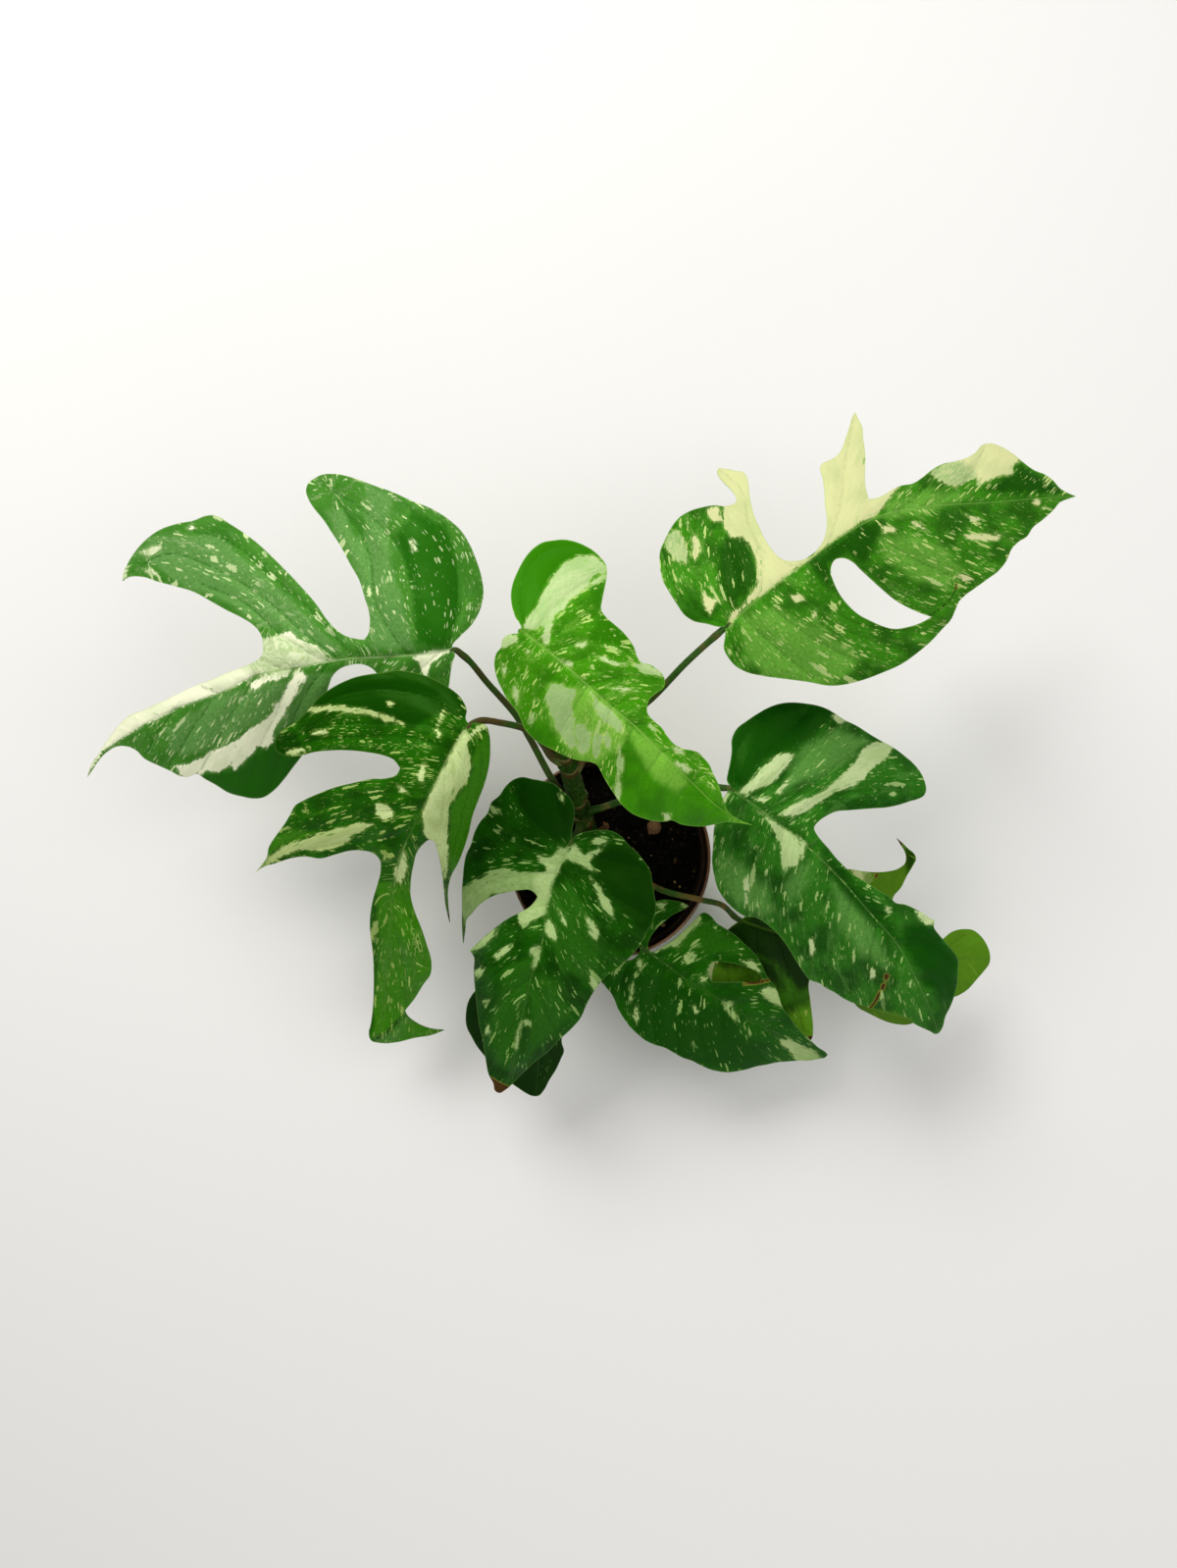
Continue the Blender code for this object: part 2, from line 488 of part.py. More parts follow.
def make_pot():
    collar_base = POT_HEIGHT - COLLAR_HEIGHT
    profile = [
        (0.0, FLOOR),
        (BASE_R - WALL - 1.0, FLOOR),
        (BASE_R - WALL, FLOOR + 1.0),
        (RIM_INNER_R - 2.1, collar_base - 1.0),
        (RIM_INNER_R - 0.1, collar_base + 1.4),
        (RIM_INNER_R, POT_HEIGHT - 0.9),
        (RIM_INNER_R + 0.4, POT_HEIGHT - 0.2),
        (RIM_INNER_R + 0.9, POT_HEIGHT),
        (RIM_OUTER_R - 0.4, POT_HEIGHT - 0.2),
        (RIM_OUTER_R, POT_HEIGHT - 0.9),
        (RIM_OUTER_R, collar_base + 0.8),
        (RIM_OUTER_R - 0.5, collar_base + 0.2),
        (RIM_OUTER_R - 2.3, collar_base),
        (BASE_R + 0.5, 1.2),
        (BASE_R - 0.6, 0.0),
        (0.0, 0.0),
    ]
    pot = turned("pot", profile, POT_PLASTIC)
    net = bmesh.new()
    for i in range(DRAIN_HOLES):
        angle = 2 * math.pi * (i + 0.5) / DRAIN_HOLES
        made = bmesh.ops.create_cone(
            net, cap_ends=True, segments=16, radius1=DRAIN_R * MM, radius2=DRAIN_R * MM, depth=3 * FLOOR * MM
        )
        bmesh.ops.translate(
            net,
            verts=made["verts"],
            vec=(DRAIN_RING_R * math.cos(angle) * MM, DRAIN_RING_R * math.sin(angle) * MM, 0.5 * FLOOR * MM),
        )
    mesh = bpy.data.meshes.new("drain_hole_cutter")
    net.to_mesh(mesh)
    net.free()
    cutter = add("drain_hole_cutter", mesh, POT_PLASTIC, CUTTERS)
    cutter.hide_render = True
    cutter.display_type = "WIRE"
    cut = pot.modifiers.new("drain_holes", "BOOLEAN")
    cut.operation = "DIFFERENCE"
    cut.object = cutter
    cut.solver = "EXACT"


def make_soil():
    """The soil fills the pot to 11 mm under the rim, with a pocket where the stem goes down."""
    top_r = 47.6
    profile = [
        (0.0, SOIL_TOP),
        (top_r - 1.6, SOIL_TOP),
        (top_r, SOIL_TOP - 1.2),
        (BASE_R - WALL - SOIL_GAP - 0.3, FLOOR + 1.6),
        (BASE_R - WALL - SOIL_GAP - 1.4, FLOOR + 0.5),
        (0.0, FLOOR + 0.5),
    ]
    soil = turned("soil", profile, POTTING_SOIL)
    foot = STEM_LINE[0]
    net = bmesh.new()
    bmesh.ops.create_cone(
        net,
        cap_ends=True,
        segments=20,
        radius1=(STEM_R + 0.9) * MM,
        radius2=(STEM_R + 0.9) * MM,
        depth=2 * (SOIL_TOP - foot.z + GAP) * MM,
    )
    bmesh.ops.translate(net, verts=net.verts, vec=(foot.x * MM, foot.y * MM, SOIL_TOP * MM))
    mesh = bpy.data.meshes.new("stem_pocket_cutter")
    net.to_mesh(mesh)
    net.free()
    cutter = add("stem_pocket_cutter", mesh, POTTING_SOIL, CUTTERS)
    cutter.hide_render = True
    cutter.display_type = "WIRE"
    cut = soil.modifiers.new("stem_pocket", "BOOLEAN")
    cut.operation = "DIFFERENCE"
    cut.object = cutter
    cut.solver = "EXACT"


# ---- stem, petioles and small pieces ---------------------------------------
def tube(name, points, radii, mat, sides=2):
    """A tube along points in mm, with a radius at each point."""
    curve = bpy.data.curves.new(name, "CURVE")
    curve.dimensions = "3D"
    curve.bevel_depth = MM
    curve.bevel_resolution = sides
    curve.use_fill_caps = True
    spline = curve.splines.new("POLY")
    spline.points.add(len(points) - 1)
    for point, place, radius in zip(spline.points, points, radii):
        point.co = (place[0] * MM, place[1] * MM, place[2] * MM, 1.0)
        point.radius = radius
    return add(name, curve, mat)


# The stem rises from the soil behind the pot's centre and leans away to the back.
STEM_LINE = [
    Vector((-8.6, 5.4, 52.0)),
    Vector((-8.6, 5.4, 83.0)),
    Vector((-10.2, 10.5, 89.0)),
    Vector((-14.7, 22.6, 100.0)),
    Vector((-18.5, 37.7, 120.0)),
    Vector((-21.6, 49.5, 135.0)),
    Vector((-26.0, 62.0, 149.0)),
]
STEM_RADII = [4.8, 5.4, 5.5, 5.5, 5.3, 5.0, 4.2]


def on_stem(z, toward):
    """A point beside the stem at height z, just clear of it, on the side of the plan point toward."""
    for low, high in zip(STEM_LINE, STEM_LINE[1:]):
        if low.z <= z <= high.z:
            axis = high - low
            centre = low.lerp(high, (z - low.z) / (high.z - low.z))
            break
    aim = toward - centre
    axis.normalize()
    aim -= axis * aim.dot(axis)
    aim.normalize()
    return centre + aim * (STEM_R + 2.2)


# Each petiole: height on the stem, then plan points with heights, then the leaf it carries.
PETIOLES = {
    "petiole_upper_left": (112, [(-58, 78, 121), (-81, 120, 129), (-94, 142, 136), (-125, 178, 145), (-150, 206, 151)], "leaf_upper_left"),
    "petiole_middle_left": (141, [(-86, 131, 157), (-110, 137, 161.5), (-133, 139, 163.5)], "leaf_middle_left"),
    "petiole_top_new": (None, [(-66, 158, 172), (-76, 195, 192), (-87, 222, 206)], "leaf_top_new"),
    "petiole_upper_right": (134, [(0, 130, 149), (40, 160, 162), (80, 201, 172), (110, 228, 176.5)], "leaf_upper_right"),
    "petiole_right": (104, [(-5, 52, 120), (30, 62, 133), (75, 69, 142.5), (114, 71, 146.5)], "leaf_right"),
    "petiole_front": (101, [(-33, 26, 109.5), (-37, 21, 111.5)], "leaf_front"),
    "petiole_lower_right": (87, [(5, -20, 90.5), (20, -55, 92.8), (27, -78, 92.9)], "leaf_lower_right"),
    "petiole_low_right": (90, [(20, -14, 92.5), (50, -32, 95.5), (92, -43, 97), (113, -48, 92.5), (130, -60, 84)], "leaf_low_right"),
    "petiole_low_front": (88.5, [(-34, -30, 94), (-37, -64, 97)], "leaf_low_front"),
}


def make_petiole(name, height, marks, leaf):
    places = [carried(*mark) for mark in marks]
    if height is None:
        end = STEM_LINE[-1]
        start = end + (places[0] - end).normalized() * 3.4
    else:
        start = on_stem(height, places[0])
    places = [start] + places
    radii = [PETIOLE_R + 0.4] + [PETIOLE_R] * (len(places) - 2) + [PETIOLE_R - 0.3]
    tube(name, places, radii, PETIOLE_GREEN)


def make_bead():
    """A round fired-clay bead that lies on the soil."""
    place = carried(45, 31, SOIL_TOP + 4.2)
    net = bmesh.new()
    bmesh.ops.create_uvsphere(net, u_segments=16, v_segments=10, radius=3.8 * MM)
    mesh = bpy.data.meshes.new("clay_bead")
    net.to_mesh(mesh)
    net.free()
    bead = add("clay_bead", mesh, FIRED_CLAY)
    bead.location = place * MM


def make_sheath(name, height, marks):
    """A dried leaf sheath that stands off the stem at a node."""
    places = [carried(*mark) for mark in marks]
    places = [on_stem(height, places[0])] + places
    radii = [1.6, 1.3, 0.5][: len(places)]
    tube(name, places, radii, DRY_SHEATH)


make_pot()
make_soil()
tube("main_stem", STEM_LINE, STEM_RADII, STEM_GREEN, 3)
for name, (height, marks, leaf) in PETIOLES.items():
    make_petiole(name, height, marks, leaf)
for name, leaf in LEAVES.items():
    make_leaf(name, leaf)
make_bead()
make_sheath("dry_sheath", 92, [(-2, 32, 95), (0, 37, 100)])
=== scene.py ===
"""Looks of the potted mini monstera: leaf blades with veins, variegation and curled tips, stem, petioles, pot, soil.

The leaves are drawn as in the design: plan units of 0.51 mm on the rim's plane, from the pot's axis,
carried along sight lines to their heights. Patches and veins are drawn on the same plan sheet, whose
corner is up and to the left of the pot's axis: sheet (622, 874) is the axis, x to the right, y down.
"""

import math
import random

import bmesh
import bpy
import numpy as np
from mathutils import Matrix, Vector, noise
from mathutils.geometry import delaunay_2d_cdt


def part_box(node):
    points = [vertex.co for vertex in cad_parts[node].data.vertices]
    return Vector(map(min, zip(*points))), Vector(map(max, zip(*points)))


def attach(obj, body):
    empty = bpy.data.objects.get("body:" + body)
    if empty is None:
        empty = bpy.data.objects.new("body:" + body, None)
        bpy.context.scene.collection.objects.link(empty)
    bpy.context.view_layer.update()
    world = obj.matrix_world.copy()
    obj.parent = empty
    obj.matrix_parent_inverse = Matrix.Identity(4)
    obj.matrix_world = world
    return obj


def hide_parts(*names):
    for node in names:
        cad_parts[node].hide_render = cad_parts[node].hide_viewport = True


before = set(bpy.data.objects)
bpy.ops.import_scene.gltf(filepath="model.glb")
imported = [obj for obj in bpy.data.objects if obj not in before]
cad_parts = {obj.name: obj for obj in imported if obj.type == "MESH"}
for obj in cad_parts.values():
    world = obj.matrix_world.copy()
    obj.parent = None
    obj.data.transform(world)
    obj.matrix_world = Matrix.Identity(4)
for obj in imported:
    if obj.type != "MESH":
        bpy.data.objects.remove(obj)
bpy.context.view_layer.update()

MM = 0.001
PLAN_UNIT = 0.51
SIGHT = np.array((-11.2, 38.2, 653.0))
RIM_Z = 93.0
AXIS_X, AXIS_Y = 622.0, 874.0
CELL = 3.0  # plan units between a blade's inner points

random.seed(7)
rng = np.random.default_rng(7)

# ---- leaves: outline, holes and height marks, in plan units and mm ------------
LEAVES = {
    # Upper left leaf: two long lobes upward, a long end lobe, a hanging lower lobe.
    "leaf_upper_left": {
        "outline": [
            (-161, 214), (-152, 226), (-142, 236), (-133, 251), (-129, 267), (-131, 286), (-137, 305),
            (-142, 317), (-151, 332), (-165, 345), (-181, 355), (-203, 364), (-223, 373), (-243, 380),
            (-262, 387), (-282, 391), (-294, 390), (-302, 386), (-308, 381), (-310, 375), (-307, 364),
            (-302, 356), (-293, 345), (-283, 330), (-274, 316), (-265, 299), (-256, 283), (-250, 264),
            (-246, 251), (-245, 237), (-247, 227), (-251, 222), (-259, 223), (-270, 226), (-281, 234),
            (-289, 243), (-300, 259), (-313, 274), (-327, 289), (-343, 305), (-359, 320), (-375, 332),
            (-389, 341), (-398, 347), (-406, 349), (-413, 348), (-423, 344), (-442, 340), (-459, 334),
            (-472, 325), (-484, 312), (-492, 299), (-496, 290), (-497, 282), (-493, 285), (-477, 286),
            (-461, 281), (-442, 276), (-423, 270), (-407, 261), (-391, 252), (-375, 244), (-363, 236),
            (-356, 227), (-354, 216), (-355, 206), (-362, 200), (-375, 194), (-391, 188), (-407, 181),
            (-423, 175), (-442, 166), (-461, 157), (-477, 150), (-491, 144), (-500, 136), (-507, 127),
            (-515, 116), (-522, 105), (-529, 95), (-533, 82), (-528, 89), (-522, 98), (-512, 108),
            (-503, 113), (-492, 113), (-483, 109), (-475, 101), (-461, 94), (-448, 88), (-438, 83),
            (-431, 82), (-421, 85), (-413, 80), (-402, 74), (-389, 66), (-375, 62), (-363, 60),
            (-354, 61), (-343, 68), (-332, 80), (-323, 92), (-316, 101), (-305, 117), (-296, 139),
            (-291, 159), (-287, 174), (-282, 186), (-274, 193), (-265, 196), (-254, 197), (-247, 195),
            (-242, 192), (-232, 179), (-217, 164), (-197, 156), (-177, 160), (-166, 170), (-163, 184),
            (-162, 192), (-160, 201), (-158, 206),
        ],
        "holes": [],
        "marks": [
            (-161, 214, 155), (-131, 290, 150), (-200, 330, 152), (-305, 385, 128), (-225, 300, 151),
            (-220, 206, 153), (-273, 202, 152), (-340, 190, 147), (-400, 168, 138), (-460, 142, 126),
            (-500, 122, 113), (-533, 82, 98), (-330, 250, 146), (-400, 300, 134), (-497, 284, 110),
            (-420, 345, 124), (-251, 225, 152), (-356, 212, 146), (-300, 160, 140), (-330, 110, 120),
            (-360, 62, 99), (-430, 84, 112), (-400, 110, 122), (-200, 160, 144), (-165, 180, 149),
            (-235, 180, 147),
        ],
    },
    # Middle left leaf: basal lobe, two side lobes, a hanging end lobe whose tip turns under.
    "leaf_middle_left": {
        "outline": [
            (-144, 136), (-147, 141), (-146, 150), (-149, 158), (-155, 166), (-164, 173), (-176, 180),
            (-190, 186), (-203, 189), (-217, 191), (-228, 189), (-244, 187), (-259, 184), (-272, 179),
            (-285, 172), (-298, 162), (-309, 149), (-322, 137), (-334, 130), (-341, 120), (-341, 110),
            (-335, 105), (-325, 103), (-314, 104), (-303, 107), (-285, 109), (-264, 109), (-246, 107),
            (-231, 104), (-220, 99), (-214, 91), (-218, 84), (-227, 81), (-244, 80), (-262, 76),
            (-282, 71), (-300, 64), (-313, 58), (-321, 53), (-326, 44), (-332, 34), (-340, 23),
            (-348, 10), (-350, 0), (-354, -6), (-362, -16), (-354, -10), (-341, -6), (-326, -1),
            (-311, 1), (-295, -1), (-280, 3), (-264, 7), (-252, 7), (-241, 4), (-235, -2),
            (-234, -14), (-237, -27), (-241, -40), (-244, -55), (-245, -68), (-244, -81), (-242, -96),
            (-241, -116), (-241, -134), (-242, -155), (-244, -170), (-246, -179), (-244, -186), (-234, -189),
            (-216, -188), (-200, -184), (-182, -181), (-169, -176), (-184, -174), (-198, -168), (-207, -160),
            (-209, -156), (-200, -145), (-190, -129), (-183, -119), (-182, -107), (-187, -88), (-193, -70),
            (-199, -55), (-203, -40), (-203, -24), (-200, -6), (-197, 5), (-190, 14), (-184, 18),
            (-179, 16), (-176, 8), (-173, -4), (-171, -16), (-169, -32), (-167, -50), (-163, -66),
            (-164, -57), (-165, -45), (-165, -32), (-162, -19), (-155, -6), (-149, 9), (-144, 25),
            (-140, 43), (-134, 59), (-127, 78), (-123, 96), (-122, 112), (-123, 125), (-127, 135),
            (-134, 137),
        ],
        "holes": [],
        "marks": [
            (-144, 136, 168), (-150, 160, 164), (-217, 190, 161), (-280, 172, 157), (-335, 128, 149),
            (-341, 112, 145), (-264, 110, 152), (-220, 130, 161), (-165, 100, 167), (-185, 60, 161),
            (-205, 25, 151), (-215, 0, 140), (-220, -50, 118), (-215, -110, 92), (-225, -160, 68),
            (-280, 40, 140), (-330, 25, 124), (-362, -16, 106), (-250, 70, 152), (-250, 10, 138),
            (-123, 110, 160), (-125, 88, 153), (-140, 45, 134), (-150, 10, 114), (-163, -66, 74),
            (-184, 18, 141), (-245, -60, 112), (-190, -80, 104), (-183, -119, 90), (-243, -180, 62),
            (-169, -176, 58),
        ],
    },
    # Top leaf, the newest: wavy margin, a broad basal lobe, long end lobe.
    "leaf_top_new": {
        "outline": [
            (-91, 232), (-97, 246), (-100, 256), (-101, 270), (-99, 280), (-95, 290), (-90, 300),
            (-84, 309), (-77, 316), (-69, 321), (-59, 323), (-47, 324), (-36, 322), (-24, 317),
            (-16, 312), (-9, 305), (-4, 298), (-3, 291), (-4, 282), (-6, 272), (-8, 262),
            (-9, 253), (-4, 245), (4, 238), (12, 231), (19, 223), (25, 213), (28, 204),
            (32, 199), (40, 197), (48, 192), (54, 186), (56, 180), (55, 174), (48, 168),
            (40, 161), (38, 154), (38, 148), (44, 140), (52, 133), (59, 123), (65, 116),
            (74, 111), (84, 109), (90, 107), (95, 102), (101, 95), (105, 86), (110, 76),
            (114, 64), (117, 54), (121, 46), (129, 40), (145, 33), (131, 35), (118, 36),
            (108, 34), (98, 32), (84, 32), (72, 34), (62, 38), (58, 37), (46, 37),
            (34, 40), (24, 44), (16, 50), (10, 56), (6, 62), (0, 71), (-6, 81),
            (-10, 89), (-14, 95), (-19, 97), (-24, 98), (-32, 99), (-42, 102), (-51, 106),
            (-61, 111), (-69, 115), (-77, 120), (-83, 126), (-87, 131), (-90, 138), (-94, 147),
            (-100, 155), (-105, 161), (-110, 171), (-114, 179), (-117, 189), (-118, 199), (-116, 208),
            (-111, 215), (-110, 221), (-106, 226), (-99, 228), (-93, 229),
        ],
        "holes": [],
        "marks": [
            (-91, 232, 212), (-100, 270, 206), (-60, 322, 196), (-5, 295, 196), (-50, 265, 210),
            (-60, 206, 213), (0, 150, 208), (60, 95, 197), (110, 50, 182), (145, 33, 168),
            (-118, 195, 202), (-90, 140, 196), (-40, 102, 192), (0, 75, 190), (40, 40, 183),
            (95, 32, 174), (28, 205, 202), (56, 180, 196), (38, 150, 203), (80, 110, 192),
            (114, 64, 181),
        ],
    },
    # Upper right leaf: rounded basal lobe, two pale finger lobes, a long window in the lower half.
    "leaf_upper_right": {
        "outline": [
            (118, 235), (111, 235), (99, 238), (85, 241), (77, 246), (68, 258), (60, 271),
            (53, 284), (51, 295), (51, 312), (56, 324), (61, 334), (70, 346), (81, 353),
            (94, 357), (108, 359), (117, 358), (125, 360), (129, 362), (128, 368), (123, 375),
            (116, 382), (111, 388), (109, 394), (111, 397), (119, 396), (128, 394), (135, 393),
            (139, 389), (141, 382), (142, 371), (144, 360), (147, 348), (152, 337), (157, 326),
            (164, 315), (171, 307), (178, 303), (187, 302), (198, 304), (207, 308), (212, 315),
            (217, 322), (220, 331), (221, 343), (219, 360), (218, 377), (216, 389), (214, 396),
            (216, 401), (224, 405), (231, 409), (236, 416), (240, 427), (244, 439), (247, 449),
            (250, 454), (253, 447), (257, 439), (258, 427), (260, 413), (260, 396), (260, 382),
            (262, 371), (264, 365), (271, 366), (280, 370), (288, 375), (297, 379), (308, 381),
            (318, 387), (328, 395), (339, 401), (353, 404), (365, 408), (373, 413), (379, 420),
            (387, 422), (398, 419), (410, 412), (421, 403), (432, 395), (444, 390), (452, 384),
            (459, 376), (466, 372), (475, 368), (466, 365), (459, 362), (452, 354), (441, 344),
            (431, 336), (425, 327), (417, 322), (410, 315), (404, 302), (396, 292), (384, 283),
            (373, 275), (362, 267), (356, 261), (352, 252), (348, 243), (339, 233), (328, 221),
            (314, 209), (297, 197), (277, 188), (255, 180), (226, 175), (201, 179), (178, 182),
            (156, 185), (139, 189), (128, 195), (121, 203), (116, 213), (117, 224),
        ],
        "holes": [
            [
                (226, 298), (229, 303), (238, 305), (246, 302), (257, 292), (269, 281), (280, 271),
                (291, 262), (305, 254), (319, 248), (328, 245), (319, 240), (305, 235), (288, 233),
                (280, 235), (266, 241), (253, 248), (243, 257), (235, 267), (228, 281), (225, 291),
            ]
        ],
        "marks": [
            (118, 235, 180), (60, 270, 175), (55, 320, 168), (100, 357, 162), (170, 275, 183),
            (235, 327, 179), (275, 350, 173), (340, 360, 163), (420, 368, 149), (475, 368, 138),
            (111, 392, 158), (165, 315, 176), (218, 380, 167), (250, 454, 150), (380, 420, 147),
            (130, 200, 176), (200, 182, 169), (280, 190, 157), (345, 240, 149), (230, 280, 179),
            (300, 238, 161), (370, 275, 152), (410, 315, 149), (300, 300, 168),
        ],
    },
    # Right leaf: dark basal lobe, a side lobe, and a broad unsplit left half.
    "leaf_right": {
        "outline": [
            (123, 71), (119, 79), (120, 86), (122, 95), (124, 109), (124, 120), (129, 131),
            (139, 139), (151, 147), (162, 153), (174, 157), (188, 158), (199, 157), (211, 155),
            (220, 152), (229, 147), (238, 141), (252, 134), (266, 125), (278, 118), (289, 112),
            (301, 103), (311, 94), (317, 86), (321, 77), (322, 67), (320, 63), (315, 60),
            (305, 57), (296, 54), (282, 51), (268, 50), (255, 49), (243, 48), (231, 47),
            (220, 42), (212, 36), (208, 30), (210, 25), (215, 18), (222, 10), (231, -1),
            (241, -11), (245, -15), (259, -24), (273, -33), (285, -40), (291, -46), (301, -48),
            (312, -53), (321, -58), (328, -63), (331, -64), (330, -70), (335, -78), (341, -85),
            (349, -94), (355, -104), (355, -115), (354, -129), (351, -141), (347, -152), (342, -162),
            (339, -173), (336, -178), (333, -180), (326, -177), (317, -173), (311, -170), (303, -164),
            (285, -160), (270, -155), (258, -151), (247, -148), (237, -143), (228, -137), (220, -133),
            (213, -128), (204, -125), (198, -118), (190, -106), (181, -91), (171, -78), (160, -68),
            (148, -61), (138, -60), (128, -54), (117, -43), (110, -32), (106, -18), (104, -4),
            (105, 12), (106, 30), (110, 46), (114, 58), (119, 66),
        ],
        "holes": [],
        "marks": [
            (123, 71, 150), (124, 110, 147), (180, 157, 139), (235, 142, 136), (322, 70, 113),
            (280, 85, 124), (208, 30, 141), (165, 45, 149), (210, 5, 143), (255, -42, 134),
            (295, -90, 124), (320, -135, 112), (333, -180, 96), (106, 0, 135), (115, -40, 127),
            (160, -68, 119), (200, -120, 109), (260, -152, 102), (245, -15, 136), (290, -46, 126),
            (331, -66, 116), (355, -110, 108), (345, -155, 101),
        ],
    },
    # Front leaf: over the rim, a long upper-left lobe, broad right half, tip hanging down.
    "leaf_front": {
        "outline": [
            (-39, 17), (-39, 24), (-37, 37), (-36, 45), (-37, 53), (-41, 61), (-49, 68),
            (-57, 75), (-68, 78), (-79, 80), (-90, 82), (-99, 79), (-106, 73), (-113, 63),
            (-121, 56), (-125, 45), (-132, 37), (-138, 26), (-142, 13), (-147, 2), (-149, -9),
            (-150, -20), (-151, -33), (-151, -42), (-151, -55), (-151, -68), (-150, -87), (-148, -72),
            (-147, -64), (-141, -57), (-134, -49), (-126, -43), (-116, -38), (-103, -35), (-90, -33),
            (-82, -33), (-77, -36), (-74, -40), (-77, -45), (-83, -51), (-92, -56), (-102, -61),
            (-114, -69), (-125, -78), (-136, -88), (-143, -95), (-139, -101), (-139, -114), (-138, -131),
            (-136, -151), (-134, -168), (-130, -186), (-127, -205), (-123, -223), (-119, -230), (-117, -238),
            (-113, -240), (-107, -237), (-103, -234), (-99, -230), (-88, -219), (-75, -207), (-62, -197),
            (-52, -186), (-42, -177), (-31, -165), (-22, -146), (-16, -136), (-5, -122), (6, -114),
            (19, -103), (30, -90), (37, -77), (44, -64), (47, -51), (45, -37), (43, -24),
            (40, -11), (34, -3), (28, 5), (19, 13), (12, 21), (4, 26), (-9, 28),
            (-20, 27), (-31, 24), (-37, 20),
        ],
        "holes": [],
        "marks": [
            (-39, 17, 115), (-37, 50, 124), (-57, 75, 125), (-100, 78, 119), (-135, 30, 109),
            (-151, -40, 98), (-150, -87, 86), (-76, -42, 114), (-53, -11, 118), (-66, -63, 118),
            (-79, -120, 114), (-90, -165, 104), (-103, -210, 89), (-113, -240, 76), (-143, -95, 99),
            (-136, -150, 95), (-125, -215, 81), (-10, 28, 116), (40, -5, 112), (47, -50, 109),
            (30, -90, 105), (-15, -138, 101), (-50, -185, 93), (-90, -222, 80),
        ],
    },
    # Lower right leaf: starts on the rim, hangs outside it, a small lobe inside it, one window.
    "leaf_lower_right": {
        "outline": [
            (30, -97), (30, -84), (33, -71), (38, -56), (45, -46), (49, -44), (57, -43),
            (66, -44), (74, -46), (80, -49), (77, -52), (71, -55), (63, -59), (56, -65),
            (48, -72), (42, -80), (39, -87), (39, -93), (42, -98), (48, -95), (56, -90),
            (65, -84), (73, -77), (80, -70), (87, -63), (93, -57), (96, -56), (99, -57),
            (104, -61), (109, -67), (117, -72), (123, -76), (131, -82), (137, -88), (145, -95),
            (151, -103), (156, -112), (160, -121), (165, -127), (169, -132), (172, -141), (176, -153),
            (182, -161), (189, -171), (197, -180), (204, -186), (208, -190), (214, -195), (219, -198),
            (222, -201), (219, -204), (214, -205), (203, -207), (193, -207), (180, -208), (169, -209),
            (160, -211), (149, -213), (139, -216), (129, -218), (120, -219), (111, -218), (102, -216),
            (93, -212), (83, -207), (74, -204), (65, -199), (56, -194), (46, -191), (37, -187),
            (28, -180), (20, -172), (14, -164), (8, -154), (5, -146), (2, -140), (-6, -130),
            (-14, -118), (-11, -108), (0, -107), (13, -106), (23, -104),
        ],
        "holes": [
            [
                (101, -112), (105, -107), (119, -107), (133, -110), (145, -114), (153, -120), (155, -124),
                (149, -127), (139, -127), (123, -127), (111, -127), (104, -126), (101, -121),
            ]
        ],
        "marks": [
            (39, -92, 96), (30, -97, 96), (30, -84, 96), (42, -80, 95), (45, -50, 92),
            (80, -49, 88.5), (50, -70, 93), (48, -95, 92.5), (65, -84, 89), (87, -63, 90),
            (97, -57, 92), (77, -124, 86), (110, -140, 82), (160, -175, 70), (222, -201, 48),
            (123, -76, 93), (151, -103, 88), (172, -141, 80), (200, -183, 62), (0, -107, 93),
            (-13, -112, 90), (5, -146, 83), (28, -180, 75), (74, -204, 67), (120, -219, 58),
            (180, -208, 51), (130, -118, 87),
        ],
    },
    # Low right leaf, under the right leaf and the lower right one.
    "leaf_low_right": {
        "outline": [
            (133, -64), (121, -73), (108, -86), (96, -106), (92, -126), (98, -146), (113, -166),
            (138, -184), (168, -194), (193, -192), (206, -184), (207, -174), (206, -161), (204, -145),
            (203, -126), (213, -111), (228, -106), (240, -126), (246, -144), (253, -153), (262, -158),
            (270, -162), (281, -167), (293, -170), (305, -170), (316, -164), (323, -146), (326, -131),
            (336, -136), (343, -143), (351, -142), (364, -135), (374, -124), (381, -116), (387, -107),
            (387, -97), (383, -87), (378, -80), (370, -74), (362, -73), (354, -74), (347, -77),
            (341, -82), (323, -91), (308, -81), (293, -56), (288, -43), (297, -30), (303, -18),
            (309, -8), (312, -1), (310, 4), (304, 9), (299, 14), (292, 20), (297, 12),
            (300, 7), (302, 1), (301, -6), (295, -11), (285, -14), (272, -15), (258, -14),
            (245, -12), (228, -14), (203, -24), (173, -38), (150, -52),
        ],
        "holes": [],
        "marks": [
            (133, -64, 86), (108, -86, 82), (92, -126, 74), (113, -166, 61), (168, -194, 48),
            (206, -180, 48), (203, -126, 67), (200, -75, 84), (260, -85, 82), (320, -98, 78),
            (387, -100, 70), (240, -14, 85), (280, -15, 82), (305, -10, 79), (292, 20, 84),
            (245, -140, 70), (293, -170, 61), (323, -146, 66), (343, -142, 66), (380, -118, 67),
            (365, -74, 73),
        ],
    },
    # Low front leaf, nearly hidden under the front leaf.
    "leaf_low_front": {
        "outline": [
            (-37, -71), (-62, -74), (-87, -84), (-112, -104), (-132, -129), (-145, -148), (-147, -159),
            (-146, -173), (-141, -183), (-136, -192), (-129, -201), (-117, -216), (-102, -229), (-92, -236),
            (-86, -240), (-79, -243), (-73, -243), (-68, -238), (-62, -227), (-55, -216), (-50, -205),
            (-47, -197), (-49, -190), (-44, -166), (-30, -136), (-19, -111), (-22, -86),
        ],
        "holes": [],
        "marks": [
